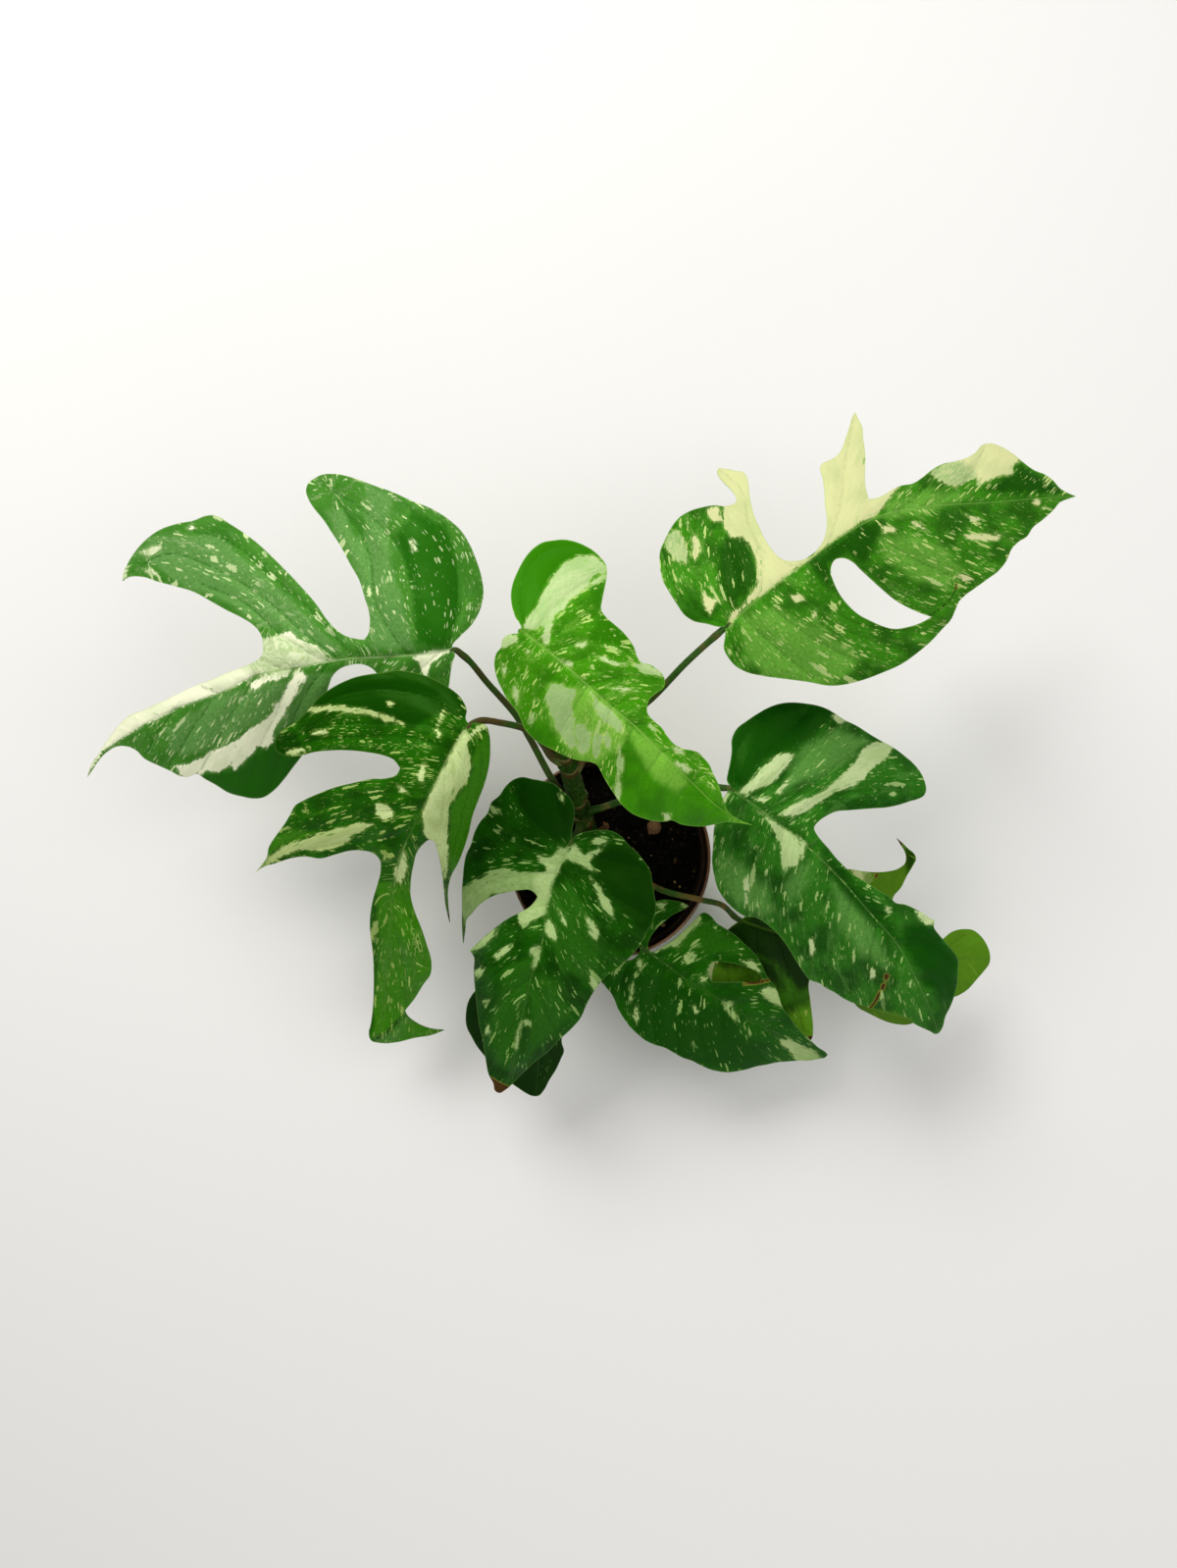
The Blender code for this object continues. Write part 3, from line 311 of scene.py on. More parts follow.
            (-37, -71, 100), (-60, -104, 99.5), (-24, -104, 99.5), (-110, -110, 96), (-145, -160, 77),
            (-141, -183, 69), (-75, -243, 53), (-50, -205, 63), (-60, -160, 80), (-92, -234, 55),
            (-100, -170, 78),
        ],
    },
}

# ---- veins, on the plan sheet: the midrib first, then the side veins -----------
VEINS = {
    "leaf_upper_left": [
        [(463, 662), (430, 667), (400, 669), (349, 672), (300, 681), (262, 688), (222, 707), (180, 722), (147, 738), (118, 757), (92, 788)],
        [(440, 665), (425, 620), (408, 560), (370, 520), (322, 490)],
        [(456, 663), (466, 620), (462, 570), (440, 535), (400, 505)],
        [(415, 668), (385, 620), (375, 560), (345, 510)],
        [(345, 672), (310, 645), (270, 610), (220, 580), (170, 565), (128, 588)],
        [(330, 674), (290, 650), (250, 615), (205, 595)],
        [(360, 670), (320, 625), (280, 590), (230, 550), (190, 540)],
        [(300, 681), (285, 720), (262, 770), (250, 812)],
        [(335, 676), (310, 710), (290, 760), (275, 808)],
        [(262, 688), (235, 730), (205, 785)],
        [(222, 707), (195, 745), (172, 782)],
        [(180, 722), (160, 748), (148, 770)],
        [(450, 664), (430, 682), (410, 705)],
        [(460, 664), (456, 690)],
        [(400, 669), (385, 690), (390, 700)],
        [(290, 683), (262, 665), (268, 650)],
        [(222, 707), (205, 700)],
    ],
    "leaf_middle_left": [
        [(478, 740), (466, 758), (440, 806), (422, 842), (411, 865), (402, 900), (398, 940), (394, 980), (391, 1020), (385, 1058)],
        [(474, 740), (445, 715), (400, 703), (350, 708), (310, 728)],
        [(470, 748), (430, 738), (380, 738), (330, 740), (285, 760)],
        [(462, 765), (420, 752), (370, 752), (320, 755), (290, 765)],
        [(452, 785), (420, 780), (385, 781)],
        [(440, 806), (400, 808), (350, 815), (305, 828)],
        [(430, 825), (390, 828), (340, 840), (300, 855), (265, 886)],
        [(420, 845), (395, 855), (360, 858), (310, 868)],
        [(474, 750), (480, 790), (470, 840), (458, 890), (457, 935)],
        [(478, 742), (492, 770), (488, 805), (474, 855)],
        [(455, 780), (452, 820), (448, 860)],
        [(404, 895), (420, 935), (434, 985)],
        [(399, 935), (412, 985), (414, 1025)],
        [(398, 925), (385, 980), (381, 1035)],
    ],
    "leaf_top_new": [
        [(532, 643), (547, 654), (575, 677), (600, 699), (624, 721), (646, 739), (674, 767), (706, 798), (734, 824), (764, 840)],
        [(534, 644), (530, 600), (560, 560), (590, 556)],
        [(537, 646), (552, 600), (578, 570), (610, 567)],
        [(541, 649), (575, 610), (612, 585)],
        [(550, 657), (580, 640), (612, 626)],
        [(562, 667), (600, 652), (640, 658)],
        [(575, 677), (615, 668), (655, 678)],
        [(600, 699), (640, 690), (675, 694)],
        [(624, 721), (645, 713), (661, 712)],
        [(646, 739), (670, 740), (682, 755)],
        [(674, 767), (700, 768), (716, 775)],
        [(706, 798), (722, 790), (732, 800)],
        [(540, 650), (520, 660), (508, 682)],
        [(550, 657), (530, 690), (518, 712)],
        [(575, 677), (550, 710), (538, 745)],
        [(600, 699), (578, 735), (565, 762)],
        [(612, 710), (600, 740), (592, 772)],
        [(624, 721), (614, 752), (606, 777)],
        [(646, 739), (634, 775), (630, 812)],
        [(674, 767), (655, 800), (652, 830)],
        [(706, 798), (690, 815), (688, 836)],
        [(734, 824), (722, 832), (712, 841)],
    ],
    "leaf_upper_right": [
        [(740, 639), (770, 613), (812, 579), (857, 547), (900, 525), (950, 516), (1010, 512), (1060, 508), (1096, 506)],
        [(742, 637), (712, 625), (685, 590), (677, 560)],
        [(744, 635), (716, 590), (708, 545), (712, 520)],
        [(750, 630), (738, 590), (736, 550), (733, 520)],
        [(760, 620), (758, 590), (750, 560)],
        [(775, 608), (778, 575), (762, 530), (756, 500), (735, 480)],
        [(812, 579), (800, 573), (795, 568)],
        [(845, 555), (858, 510), (862, 470), (871, 424)],
        [(885, 532), (905, 512), (915, 498)],
        [(915, 522), (935, 505), (955, 480)],
        [(950, 516), (985, 490), (1005, 456)],
        [(1010, 512), (1030, 490), (1042, 475)],
        [(742, 640), (748, 660), (760, 682)],
        [(755, 627), (785, 655), (830, 692)],
        [(775, 610), (820, 645), (885, 680)],
        [(795, 594), (850, 636), (920, 664)],
        [(818, 576), (862, 630), (945, 645)],
        [(857, 547), (893, 585), (955, 618)],
        [(880, 535), (925, 566), (985, 594)],
        [(915, 522), (962, 550), (1012, 574)],
        [(960, 515), (1000, 535), (1038, 552)],
        [(1010, 512), (1036, 524), (1062, 532)],
    ],
    "leaf_right": [
        [(745, 804), (768, 820), (800, 844), (830, 869), (858, 897), (890, 934), (916, 964), (934, 998), (950, 1033), (956, 1051)],
        [(748, 805), (752, 765), (770, 730)],
        [(752, 808), (785, 765), (825, 722)],
        [(765, 817), (810, 780), (852, 735)],
        [(782, 829), (830, 800), (875, 765), (905, 758)],
        [(800, 844), (850, 812), (900, 805), (942, 806)],
        [(858, 897), (885, 903), (910, 920)],
        [(890, 934), (920, 928), (950, 938)],
        [(916, 964), (945, 965), (972, 985)],
        [(934, 998), (955, 1000), (970, 1018)],
        [(750, 808), (738, 830), (730, 850)],
        [(762, 816), (748, 860), (736, 905)],
        [(780, 829), (765, 885), (760, 930)],
        [(800, 844), (788, 900), (788, 942)],
        [(828, 867), (808, 920), (812, 975)],
        [(848, 887), (835, 950), (838, 1002)],
        [(870, 911), (858, 965), (862, 1015)],
        [(895, 940), (885, 990), (888, 1027)],
        [(918, 967), (908, 1010), (915, 1038)],
    ],
    "leaf_front": [
        [(582, 858), (576, 872), (569, 885), (562, 903), (558, 920), (554, 955), (543, 990), (538, 1012), (528, 1055), (517, 1103), (511, 1112)],
        [(580, 860), (572, 830), (562, 800)],
        [(579, 864), (545, 838), (520, 800)],
        [(575, 872), (530, 860), (495, 838)],
        [(572, 880), (530, 878), (480, 885)],
        [(567, 890), (525, 893), (485, 908), (472, 955)],
        [(557, 938), (520, 948), (482, 970)],
        [(550, 968), (515, 985), (486, 1010)],
        [(542, 995), (512, 1020), (490, 1050)],
        [(535, 1028), (512, 1060), (498, 1090)],
        [(582, 859), (608, 850), (632, 853)],
        [(580, 864), (615, 875), (655, 885)],
        [(576, 873), (612, 905), (662, 935)],
        [(570, 885), (605, 930), (645, 970)],
        [(563, 902), (595, 955), (625, 988)],
        [(558, 925), (582, 980), (606, 1008)],
        [(552, 960), (572, 1010), (592, 1036)],
        [(543, 992), (556, 1030), (570, 1056)],
        [(537, 1020), (540, 1060), (540, 1086)],
    ],
    "leaf_lower_right": [
        [(657, 968), (675, 980), (699, 998), (720, 1010), (760, 1035), (800, 1060), (840, 1076)],
        [(658, 970), (636, 990), (632, 1020)],
        [(666, 974), (645, 1010), (648, 1048)],
        [(680, 984), (665, 1030), (668, 1062)],
        [(697, 997), (688, 1040), (692, 1074)],
        [(714, 1007), (712, 1045), (722, 1086)],
        [(735, 1020), (738, 1055), (750, 1090)],
        [(758, 1034), (765, 1062), (785, 1083)],
        [(785, 1051), (800, 1070), (822, 1080)],
        [(672, 978), (690, 962), (712, 935)],
        [(685, 988), (715, 968), (748, 953)],
        [(697, 996), (722, 978), (768, 975)],
        [(715, 1008), (750, 1006), (788, 1008)],
        [(745, 1026), (770, 1020), (797, 1026)],
        [(775, 1045), (795, 1040), (812, 1048)],
        [(658, 966), (668, 942), (700, 924)],
    ],
    "leaf_low_right": [
        [(755, 938), (790, 950), (830, 960), (880, 970), (940, 978), (1005, 978)],
        [(757, 940), (742, 985), (755, 1045)],
        [(770, 943), (775, 1000), (795, 1060)],
        [(790, 950), (805, 1000), (820, 1052)],
        [(800, 952), (840, 915), (880, 892)],
        [(855, 965), (895, 930), (925, 880), (917, 859)],
        [(860, 967), (880, 1010), (900, 1038)],
        [(900, 974), (920, 1010), (930, 1040)],
        [(950, 978), (975, 960), (990, 950)],
        [(950, 978), (975, 1000), (980, 1010)],
    ],
    "leaf_low_front": [
        [(585, 945), (562, 1000), (552, 1060), (547, 1112)],
        [(575, 970), (530, 1000), (482, 1030)],
        [(563, 1000), (520, 1030), (482, 1055)],
        [(556, 1035), (525, 1070), (510, 1090)],
        [(560, 1005), (572, 1040), (572, 1065)],
        [(553, 1055), (562, 1075), (566, 1085)],
    ],
}

# ---- colour patches, on the plan sheet ------------------------------------------
# cream: white to cream tissue; dark: plain deep green, and on the low right leaf a painted shadow; light: greyed
# lighter green, partly painted sheen and painted light;
# dull: cream that is greener; slits: painted shade lines along a fold and along a split where lobes overlap; calm: no
# flecks; dry: brown dead tissue; glow: yellow-green where light comes through.
PATCHES = {
    "leaf_upper_left": {
        "dull": [
            [(250, 640), (345, 664), (345, 680), (262, 692), (246, 680)],
            [(408, 542), (440, 542), (440, 574), (408, 574)],
            [(134, 550), (176, 550), (176, 596), (108, 602), (108, 572)],
        ],
        "cream": [
            [(262, 652), (283, 648), (296, 643), (302, 651), (313, 656), (323, 658), (333, 670), (342, 673), (320, 677), (300, 681), (275, 685), (262, 687), (245, 697), (222, 707), (200, 714), (180, 722), (160, 733), (147, 738), (130, 749), (118, 757), (105, 765), (88, 793), (80, 785), (98, 745), (118, 725), (150, 707), (200, 684), (250, 664)],
            [(300, 683), (308, 684), (313, 690), (309, 696), (305, 699), (300, 712), (292, 723), (283, 737), (279, 745), (277, 757), (270, 762), (262, 760), (258, 768), (247, 778), (240, 785), (235, 781), (228, 782), (222, 787), (212, 785), (205, 789), (191, 794), (183, 788), (180, 781), (195, 778), (215, 766), (232, 760), (245, 752), (256, 742), (265, 738), (275, 730), (283, 718), (291, 702), (299, 691)],
            [(296, 684), (282, 686), (265, 690), (256, 697), (254, 705), (262, 701), (270, 695), (285, 692), (293, 689)],
            [(420, 669), (440, 664), (463, 662), (452, 667), (445, 673), (440, 676), (437, 682), (436, 690), (433, 690), (430, 682), (427, 674), (422, 671)],
            [(144, 563), (155, 558), (166, 558), (165, 562), (150, 566)],
            [(146, 581), (153, 580), (160, 585), (152, 585)],
            [(120, 583), (130, 580), (128, 588), (122, 592)],
            [(190, 537), (196, 535), (200, 540), (194, 541)],
            [(418, 550), (423, 552), (425, 562), (421, 562)],
        ],
        "dark": [
            [(200, 792), (222, 788), (235, 783), (247, 779), (258, 769), (270, 763), (279, 757), (287, 745), (300, 735), (315, 760), (308, 778), (290, 800), (270, 818), (245, 818), (215, 805)],
            [(420, 520), (455, 535), (465, 570), (470, 620), (455, 660), (425, 655), (420, 600), (405, 545)],
        ],
        # Painted sheen on the lobe sides that face the light, partly over paler grey-green tissue.
        "light": [
            [(372, 492), (402, 503), (394, 540), (400, 580), (409, 610), (419, 650), (425, 662), (378, 662), (377, 640), (370, 605), (360, 575), (345, 545), (335, 530), (330, 520), (350, 520), (360, 545), (375, 560), (372, 520)],
            [(135, 565), (165, 545), (220, 545), (255, 575), (300, 615), (335, 650), (345, 664), (335, 668), (310, 650), (285, 640), (262, 636), (220, 608), (180, 592), (150, 570)],
            [(313, 688), (345, 686), (338, 705), (320, 722), (300, 738), (284, 748), (284, 738), (300, 714), (308, 699)],
            [(170, 745), (215, 712), (262, 695), (290, 695), (285, 712), (262, 738), (240, 750), (205, 768), (175, 770)],
        ],
        "calm": [
            [(200, 792), (235, 783), (258, 769), (279, 757), (292, 735), (305, 705), (310, 694), (318, 684), (348, 682), (340, 720), (315, 760), (308, 778), (290, 800), (270, 818), (245, 818), (215, 805)],
        ],
        "dry": [],
        "glow": [],
    },
    "leaf_middle_left": {
        "dull": [
            [(255, 896), (275, 860), (350, 835), (385, 835), (370, 870), (300, 882)],
            [(300, 715), (420, 725), (420, 745), (300, 730)],
        ],
        "cream": [
            [(474, 742), (478, 745), (479, 752), (476, 758), (477, 766), (480, 775), (481, 783), (477, 792), (473, 800), (466, 808), (459, 818), (457, 826), (457, 840), (456, 855), (457, 868), (456, 880), (455, 893), (452, 895), (449, 880), (446, 868), (442, 857), (436, 854), (433, 850), (432, 840), (430, 832), (434, 820), (440, 806), (448, 790), (458, 770), (466, 755)],
            [(478, 749), (484, 743), (492, 738), (497, 741), (488, 746), (482, 750)],
            [(258, 892), (275, 873), (290, 862), (310, 856), (330, 848), (350, 843), (372, 838), (380, 840), (372, 845), (360, 852), (350, 860), (340, 865), (325, 867), (305, 866), (290, 871), (275, 880)],
            [(411, 867), (414, 872), (415, 885), (413, 892), (409, 901), (403, 897), (402, 890), (405, 882), (408, 874)],
            [(429, 781), (435, 779), (432, 790), (433, 797), (427, 798), (426, 790)],
            [(384, 819), (395, 821), (402, 828), (401, 833), (390, 835), (383, 829)],
            [(310, 721), (340, 719), (370, 722), (395, 730), (412, 738), (395, 735), (370, 727), (340, 724), (315, 726)],
            [(394, 715), (402, 717), (400, 721), (395, 719)],
            [(405, 800), (412, 803), (417, 809), (408, 807)],
            [(320, 745), (335, 743), (333, 748), (318, 749)],
            [(293, 766), (308, 762), (312, 765), (298, 769)],
            [(455, 722), (450, 735), (446, 738), (449, 728)],
            [(446, 742), (451, 750), (447, 752), (442, 745)],
        ],
        "dark": [
            [(305, 735), (320, 723), (345, 719), (375, 722), (400, 732), (418, 742), (432, 736), (443, 729), (458, 727), (478, 735), (480, 724), (470, 700), (440, 680), (400, 674), (345, 686), (305, 718)],
            [(275, 748), (300, 745), (312, 765), (300, 775), (280, 770)],
        ],
        # The third light area is painted light on the turned-down end flap.
        "light": [
            [(481, 772), (496, 745), (503, 765), (493, 802), (480, 847), (464, 892), (457, 885), (459, 840), (460, 820), (474, 802), (482, 785)],
            [(384, 900), (420, 900), (432, 940), (446, 985), (436, 1010), (412, 1032), (396, 1050), (380, 1058), (384, 1000), (386, 950)],
            [(384, 1062), (400, 1050), (414, 1036), (430, 1046), (452, 1056), (420, 1070), (386, 1070)],
            [(272, 872), (283, 851), (300, 846), (325, 847), (300, 858), (283, 865)],
        ],
        "calm": [
            [(305, 735), (320, 725), (345, 721), (375, 724), (400, 734), (418, 743), (430, 741), (445, 722), (460, 712), (470, 700), (440, 680), (400, 674), (345, 686), (305, 718)],
            [(482, 772), (496, 745), (503, 765), (493, 802), (480, 847), (464, 892), (457, 885), (459, 840), (460, 820), (474, 802), (483, 785)],
        ],
        # Painted shade along the fold line of the turned-down end flap.
        "shade_lines": [[(414, 1030), (405, 1041), (395, 1052), (380, 1061)]],
        "dry": [[(455, 932), (461, 932), (462, 944), (456, 944)]],
        "glow": [],
    },
    "leaf_top_new": {
        "dull": [
            [(552, 690), (600, 700), (642, 735), (642, 820), (600, 775), (560, 745)],
        ],
        "cream": [
            [(533, 640), (540, 628), (548, 617), (556, 600), (566, 585), (577, 572), (590, 567), (605, 566), (613, 572), (620, 580), (610, 585), (603, 590), (600, 598), (590, 604), (580, 612), (575, 620), (565, 628), (562, 640), (560, 656), (555, 658), (552, 650), (556, 640), (552, 636), (545, 642), (535, 640)],
            [(603, 597), (605, 590), (615, 585), (618, 588), (610, 594)],
            [(508, 661), (508, 652), (516, 646), (527, 648), (528, 656), (520, 658)],
            [(562, 697), (575, 699), (587, 703), (583, 720), (586, 735), (584, 748), (590, 758), (583, 764), (575, 754), (568, 744), (563, 730), (556, 712)],
            [(587, 740), (596, 738), (602, 748), (600, 765), (592, 772), (588, 758)],
            [(602, 705), (612, 716), (625, 725), (633, 735), (634, 748), (625, 742), (615, 735), (606, 722)],
            [(645, 676), (660, 675), (674, 684), (676, 690), (665, 688), (655, 686)],
            [(606, 669), (618, 669), (624, 674), (640, 678), (628, 679), (615, 674)],
            [(617, 700), (635, 700), (650, 704), (630, 704)],
            [(570, 672), (584, 675), (583, 681), (576, 678)],
            [(631, 757), (635, 775), (633, 790), (633, 806), (630, 818), (627, 805), (630, 790), (629, 775)],
            [(607, 745), (613, 750), (612, 768), (607, 772), (604, 760)],
            [(618, 745), (623, 752), (621, 765), (617, 758)],
            [(513, 676), (517, 680), (515, 690), (512, 686)],
            [(523, 699), (530, 705), (527, 716), (524, 712)],
            [(541, 727), (544, 728), (541, 740), (539, 737)],
            [(536, 661), (541, 664), (538, 667)],
            [(662, 737), (668, 742), (668, 748), (663, 743)],
            [(686, 760), (696, 764), (698, 769), (688, 767)],
            [(685, 774), (697, 779), (705, 785), (700, 788), (690, 780)],
            [(588, 656), (598, 654), (596, 661), (587, 660)],
            [(676, 829), (684, 829), (682, 836), (678, 837)],
        ],
        "dark": [
            [(606, 640), (611, 622), (624, 632), (642, 650), (650, 662), (640, 666), (625, 658), (605, 655), (600, 650)],
            [(604, 598), (616, 598), (612, 622), (604, 615)],
            [(533, 641), (520, 615), (518, 590), (533, 562), (560, 548), (595, 551), (604, 564), (588, 567), (575, 574), (564, 588), (554, 602), (545, 620)],
        ],
        # The first light area is paler marbled tissue; the second is a painted sheen beside the midrib.
        "light": [
            [(556, 697), (600, 700), (640, 735), (636, 760), (605, 780), (580, 770), (560, 735)],
            [(642, 742), (660, 750), (690, 778), (702, 800), (690, 806), (668, 795), (655, 775), (645, 758)],
        ],
        # The last calm area keeps the painted sheen free of flecks.
        "calm": [
            [(535, 641), (520, 615), (518, 590), (533, 562), (560, 548), (595, 551), (604, 564), (588, 567), (575, 574), (564, 588), (554, 602), (545, 620)],
            [(636, 765), (650, 770), (690, 810), (735, 830), (760, 845), (700, 850), (640, 835), (632, 815)],
            [(555, 680), (600, 705), (590, 735), (560, 700)],
            [(530, 728), (560, 740), (575, 762), (545, 762)],
            [(640, 742), (662, 748), (692, 774), (706, 796), (742, 826), (730, 832), (694, 812), (668, 800), (652, 780)],
        ],
        "dry": [],
        "glow": [],
    },
    "leaf_upper_right": {
        "dull": [
            [(940, 468), (982, 470), (996, 484), (1002, 500), (940, 500)],
            [(672, 536), (706, 536), (706, 580), (672, 580)],
        ],
        "cream": [
            [(738, 514), (726, 478), (735, 470), (765, 474), (773, 520), (793, 558), (812, 568), (831, 553), (836, 530), (830, 470), (872, 410), (886, 440), (890, 503), (918, 492), (908, 505), (900, 518), (893, 526), (878, 531), (865, 541), (850, 551), (838, 560), (820, 574), (800, 589), (780, 604), (765, 613), (755, 622), (748, 633), (742, 638), (746, 624), (758, 618), (765, 606), (773, 598), (773, 588), (771, 570), (766, 556), (757, 547), (745, 547), (738, 538), (738, 526)],
            [(681, 545), (690, 540), (697, 548), (700, 560), (700, 573), (690, 572), (684, 565), (678, 555)],
            [(707, 543), (713, 552), (714, 562), (709, 572), (705, 566)],
            [(721, 519), (733, 515), (733, 525), (737, 532), (728, 531), (722, 527)],
            [(716, 600), (722, 608), (733, 612), (727, 618), (724, 627), (717, 615)],
            [(948, 482), (961, 474), (975, 468), (1000, 448), (1020, 448), (1037, 462), (1041, 470), (1032, 474), (1033, 482), (1020, 484), (1005, 490), (998, 497), (995, 488), (985, 490), (975, 497), (965, 492), (955, 488)],
            [(983, 546), (1000, 545), (1020, 546), (1018, 551), (1000, 551), (985, 549)],
            [(927, 531), (936, 533), (944, 538), (934, 537)],
            [(985, 525), (992, 527), (1002, 529), (992, 531)],
            [(899, 538), (908, 537), (913, 541), (903, 543)],
            [(807, 607), (818, 607), (820, 612), (810, 614)],
            [(828, 624), (833, 622), (832, 630), (828, 630)],
            [(976, 585), (986, 586), (992, 591), (982, 592)],
            [(1056, 508), (1061, 510), (1058, 516), (1053, 512)],
        ],
        "dark": [
            [(738, 545), (757, 547), (767, 560), (773, 590), (762, 606), (745, 618), (735, 600), (732, 570)],
            [(822, 572), (850, 553), (880, 532), (902, 530), (890, 560), (882, 578), (862, 564), (848, 575), (846, 600), (835, 590)],
            [(998, 498), (1033, 484), (1040, 472), (1070, 490), (1085, 503), (1060, 505), (1020, 503)],
        ],
        # Painted sheen over lighter grey-green tissue.
        "light": [
            [(755, 632), (790, 618), (835, 640), (880, 668), (850, 700), (790, 694), (760, 672)],
            [(895, 548), (930, 545), (965, 560), (985, 585), (965, 600), (930, 590), (905, 570)],
            [(900, 512), (950, 500), (990, 505), (950, 520), (905, 530)],
        ],
        "calm": [
            [(692, 640), (735, 650), (742, 638), (735, 615), (700, 600), (690, 615)],
        ],
        # Painted shade along the split where the two lobes overlap.
        "shade_lines": [[(947, 627), (958, 621), (967, 613), (973, 604), (975, 595)]],
        "dry": [[(974, 596), (975.5, 594), (976, 600), (974.5, 601)]],
        "glow": [],
    },
    "leaf_right": {
        "dull": [
            [(770, 825), (820, 850), (820, 890), (790, 890)],
        ],
        "cream": [
            [(752, 808), (765, 797), (775, 785), (790, 772), (800, 768), (809, 769), (805, 778), (797, 787), (788, 797), (775, 803), (760, 809)],
            [(795, 831), (805, 822), (820, 815), (835, 809), (848, 800), (860, 788), (872, 778), (878, 765), (890, 757), (905, 756), (912, 763), (905, 770), (897, 778), (887, 785), (882, 793), (868, 802), (850, 807), (835, 818), (820, 828), (805, 832)],
            [(772, 827), (785, 835), (800, 845), (812, 852), (817, 862), (815, 875), (812, 882), (804, 883), (801, 888), (797, 880), (797, 868), (793, 855), (788, 843), (778, 832)],
            [(790, 808), (797, 800), (808, 791), (801, 800), (795, 809)],
            [(848, 730), (854, 724), (864, 734), (855, 738)],
            [(759, 895), (764, 892), (763, 905), (762, 922), (759, 918)],
            [(933, 928), (945, 931), (955, 939), (947, 943), (938, 937)],
            [(730, 818), (745, 806), (743, 812), (735, 822)],
            [(817, 853), (822, 860), (818, 875), (816, 868)],
            [(767, 813), (775, 814), (785, 813), (778, 818)],
            [(826, 957), (829, 957), (830, 972), (827, 975)],
            [(886, 985), (890, 987), (893, 997), (889, 997)],
            [(902, 924), (909, 926), (908, 931), (903, 929)],
        ],
        "dark": [
            [(745, 801), (738, 790), (743, 750), (770, 718), (810, 709), (856, 722), (849, 735), (830, 749), (810, 766), (790, 770), (775, 785), (760, 800)],
            [(921, 950), (935, 944), (953, 946), (982, 980), (974, 1020), (950, 1010), (933, 985), (922, 965)],
            [(835, 862), (850, 875), (900, 925), (925, 965), (905, 955), (870, 920), (845, 890)],
        ],
        "light": [
            [(735, 870), (755, 880), (775, 895), (790, 930), (775, 935), (745, 915), (732, 895)],
            [(850, 900), (870, 920), (895, 955), (905, 985), (880, 975), (855, 945)],
            [(820, 760), (850, 745), (885, 755), (860, 780), (830, 792), (800, 805), (800, 795)],
            [(812, 885), (828, 880), (820, 905), (806, 925), (800, 905)],
        ],
        "calm": [
            [(745, 799), (738, 790), (743, 750), (770, 718), (810, 709), (850, 722), (840, 735), (820, 749), (800, 763), (780, 772), (765, 787), (755, 797)],
            [(915, 950), (935, 944), (953, 946), (982, 980), (974, 1020), (950, 1015), (933, 990), (918, 965)],
        ],
        "dry": [
            [(902, 992), (907, 994), (905, 999), (901, 998)],
            [(899, 1002), (903, 1003), (901, 1009), (898, 1008)],
            [(896, 1010), (898, 1011), (894, 1021), (888, 1028), (886, 1027), (892, 1019)],
        ],
        "glow": [
            [(880, 1026), (900, 1029), (925, 1036), (935, 1046), (900, 1046), (875, 1030)],
        ],
    },
    "leaf_front": {
        "dull": [
            [(464, 885), (545, 885), (545, 925), (500, 925), (480, 950), (464, 950)],
        ],
        "cream": [
            [(474, 942), (468, 915), (475, 905), (482, 898), (490, 896), (500, 888), (515, 886), (535, 890), (556, 889), (558, 884), (550, 878), (548, 872), (560, 875), (568, 868), (569, 864), (577, 865), (582, 859), (577, 872), (570, 886), (563, 901), (560, 916), (556, 931), (548, 937), (540, 941), (534, 946), (529, 940), (528, 929), (548, 914), (538, 907), (500, 912), (480, 935)],
            [(584, 860), (590, 865), (595, 872), (604, 868), (618, 862), (612, 868), (600, 876), (603, 884), (608, 890), (598, 884), (585, 878), (578, 876), (581, 868)],
            [(601, 893), (608, 900), (615, 910), (622, 920), (627, 936), (620, 932), (613, 922), (608, 908)],
            [(560, 937), (566, 945), (568, 955), (565, 959), (560, 955), (556, 948), (556, 940)],
            [(597, 934), (604, 940), (611, 950), (608, 959), (602, 952), (599, 942)],
            [(603, 858), (610, 853), (615, 855), (622, 858), (612, 861)],
            [(476, 972), (487, 960), (500, 949), (510, 942), (505, 952), (495, 962), (485, 968)],
            [(503, 975), (512, 967), (523, 962), (518, 970), (508, 978)],
            [(483, 990), (493, 985), (491, 992), (486, 999)],
            [(552, 965), (550, 975), (544, 988), (542, 985), (546, 972)],
            [(532, 1040), (530, 1055), (527, 1070), (524, 1068), (528, 1050)],
            [(602, 990), (606, 998), (611, 1003), (606, 1010), (602, 1003)],
            [(499, 822), (507, 824), (511, 830), (504, 829)],
            [(540, 967), (549, 963), (546, 970), (540, 973)],
            [(533, 1040), (540, 1040), (541, 1046), (534, 1045)],
            [(568, 925), (573, 932), (577, 944), (573, 940)],
            [(493, 1020), (498, 1020), (495, 1028)],
            [(495, 1043), (499, 1047), (499, 1057), (496, 1053)],
            [(569, 807), (574, 812), (574, 819), (570, 813)],
        ],
        "dark": [
            [(604, 874), (625, 862), (645, 862), (668, 895), (674, 925), (662, 952), (648, 945), (630, 925), (615, 900)],
            [(530, 790), (570, 798), (592, 825), (584, 850), (565, 862), (540, 850), (525, 820)],
        ],
        # Painted sheen on the half of the blade that faces the light.
        "light": [
            [(560, 905), (580, 900), (600, 930), (615, 970), (600, 1000), (575, 990), (558, 950)],
            [(515, 985), (545, 975), (540, 1010), (530, 1050), (520, 1090), (505, 1085), (500, 1040)],
            [(545, 990), (575, 1005), (580, 1035), (560, 1060), (535, 1080), (540, 1030)],
        ],
        "calm": [
            [(606, 874), (625, 864), (645, 862), (668, 895), (674, 925), (662, 948), (648, 940), (630, 920), (615, 898)],
            [(530, 790), (565, 798), (592, 825), (584, 850), (565, 855), (545, 845), (525, 815)],
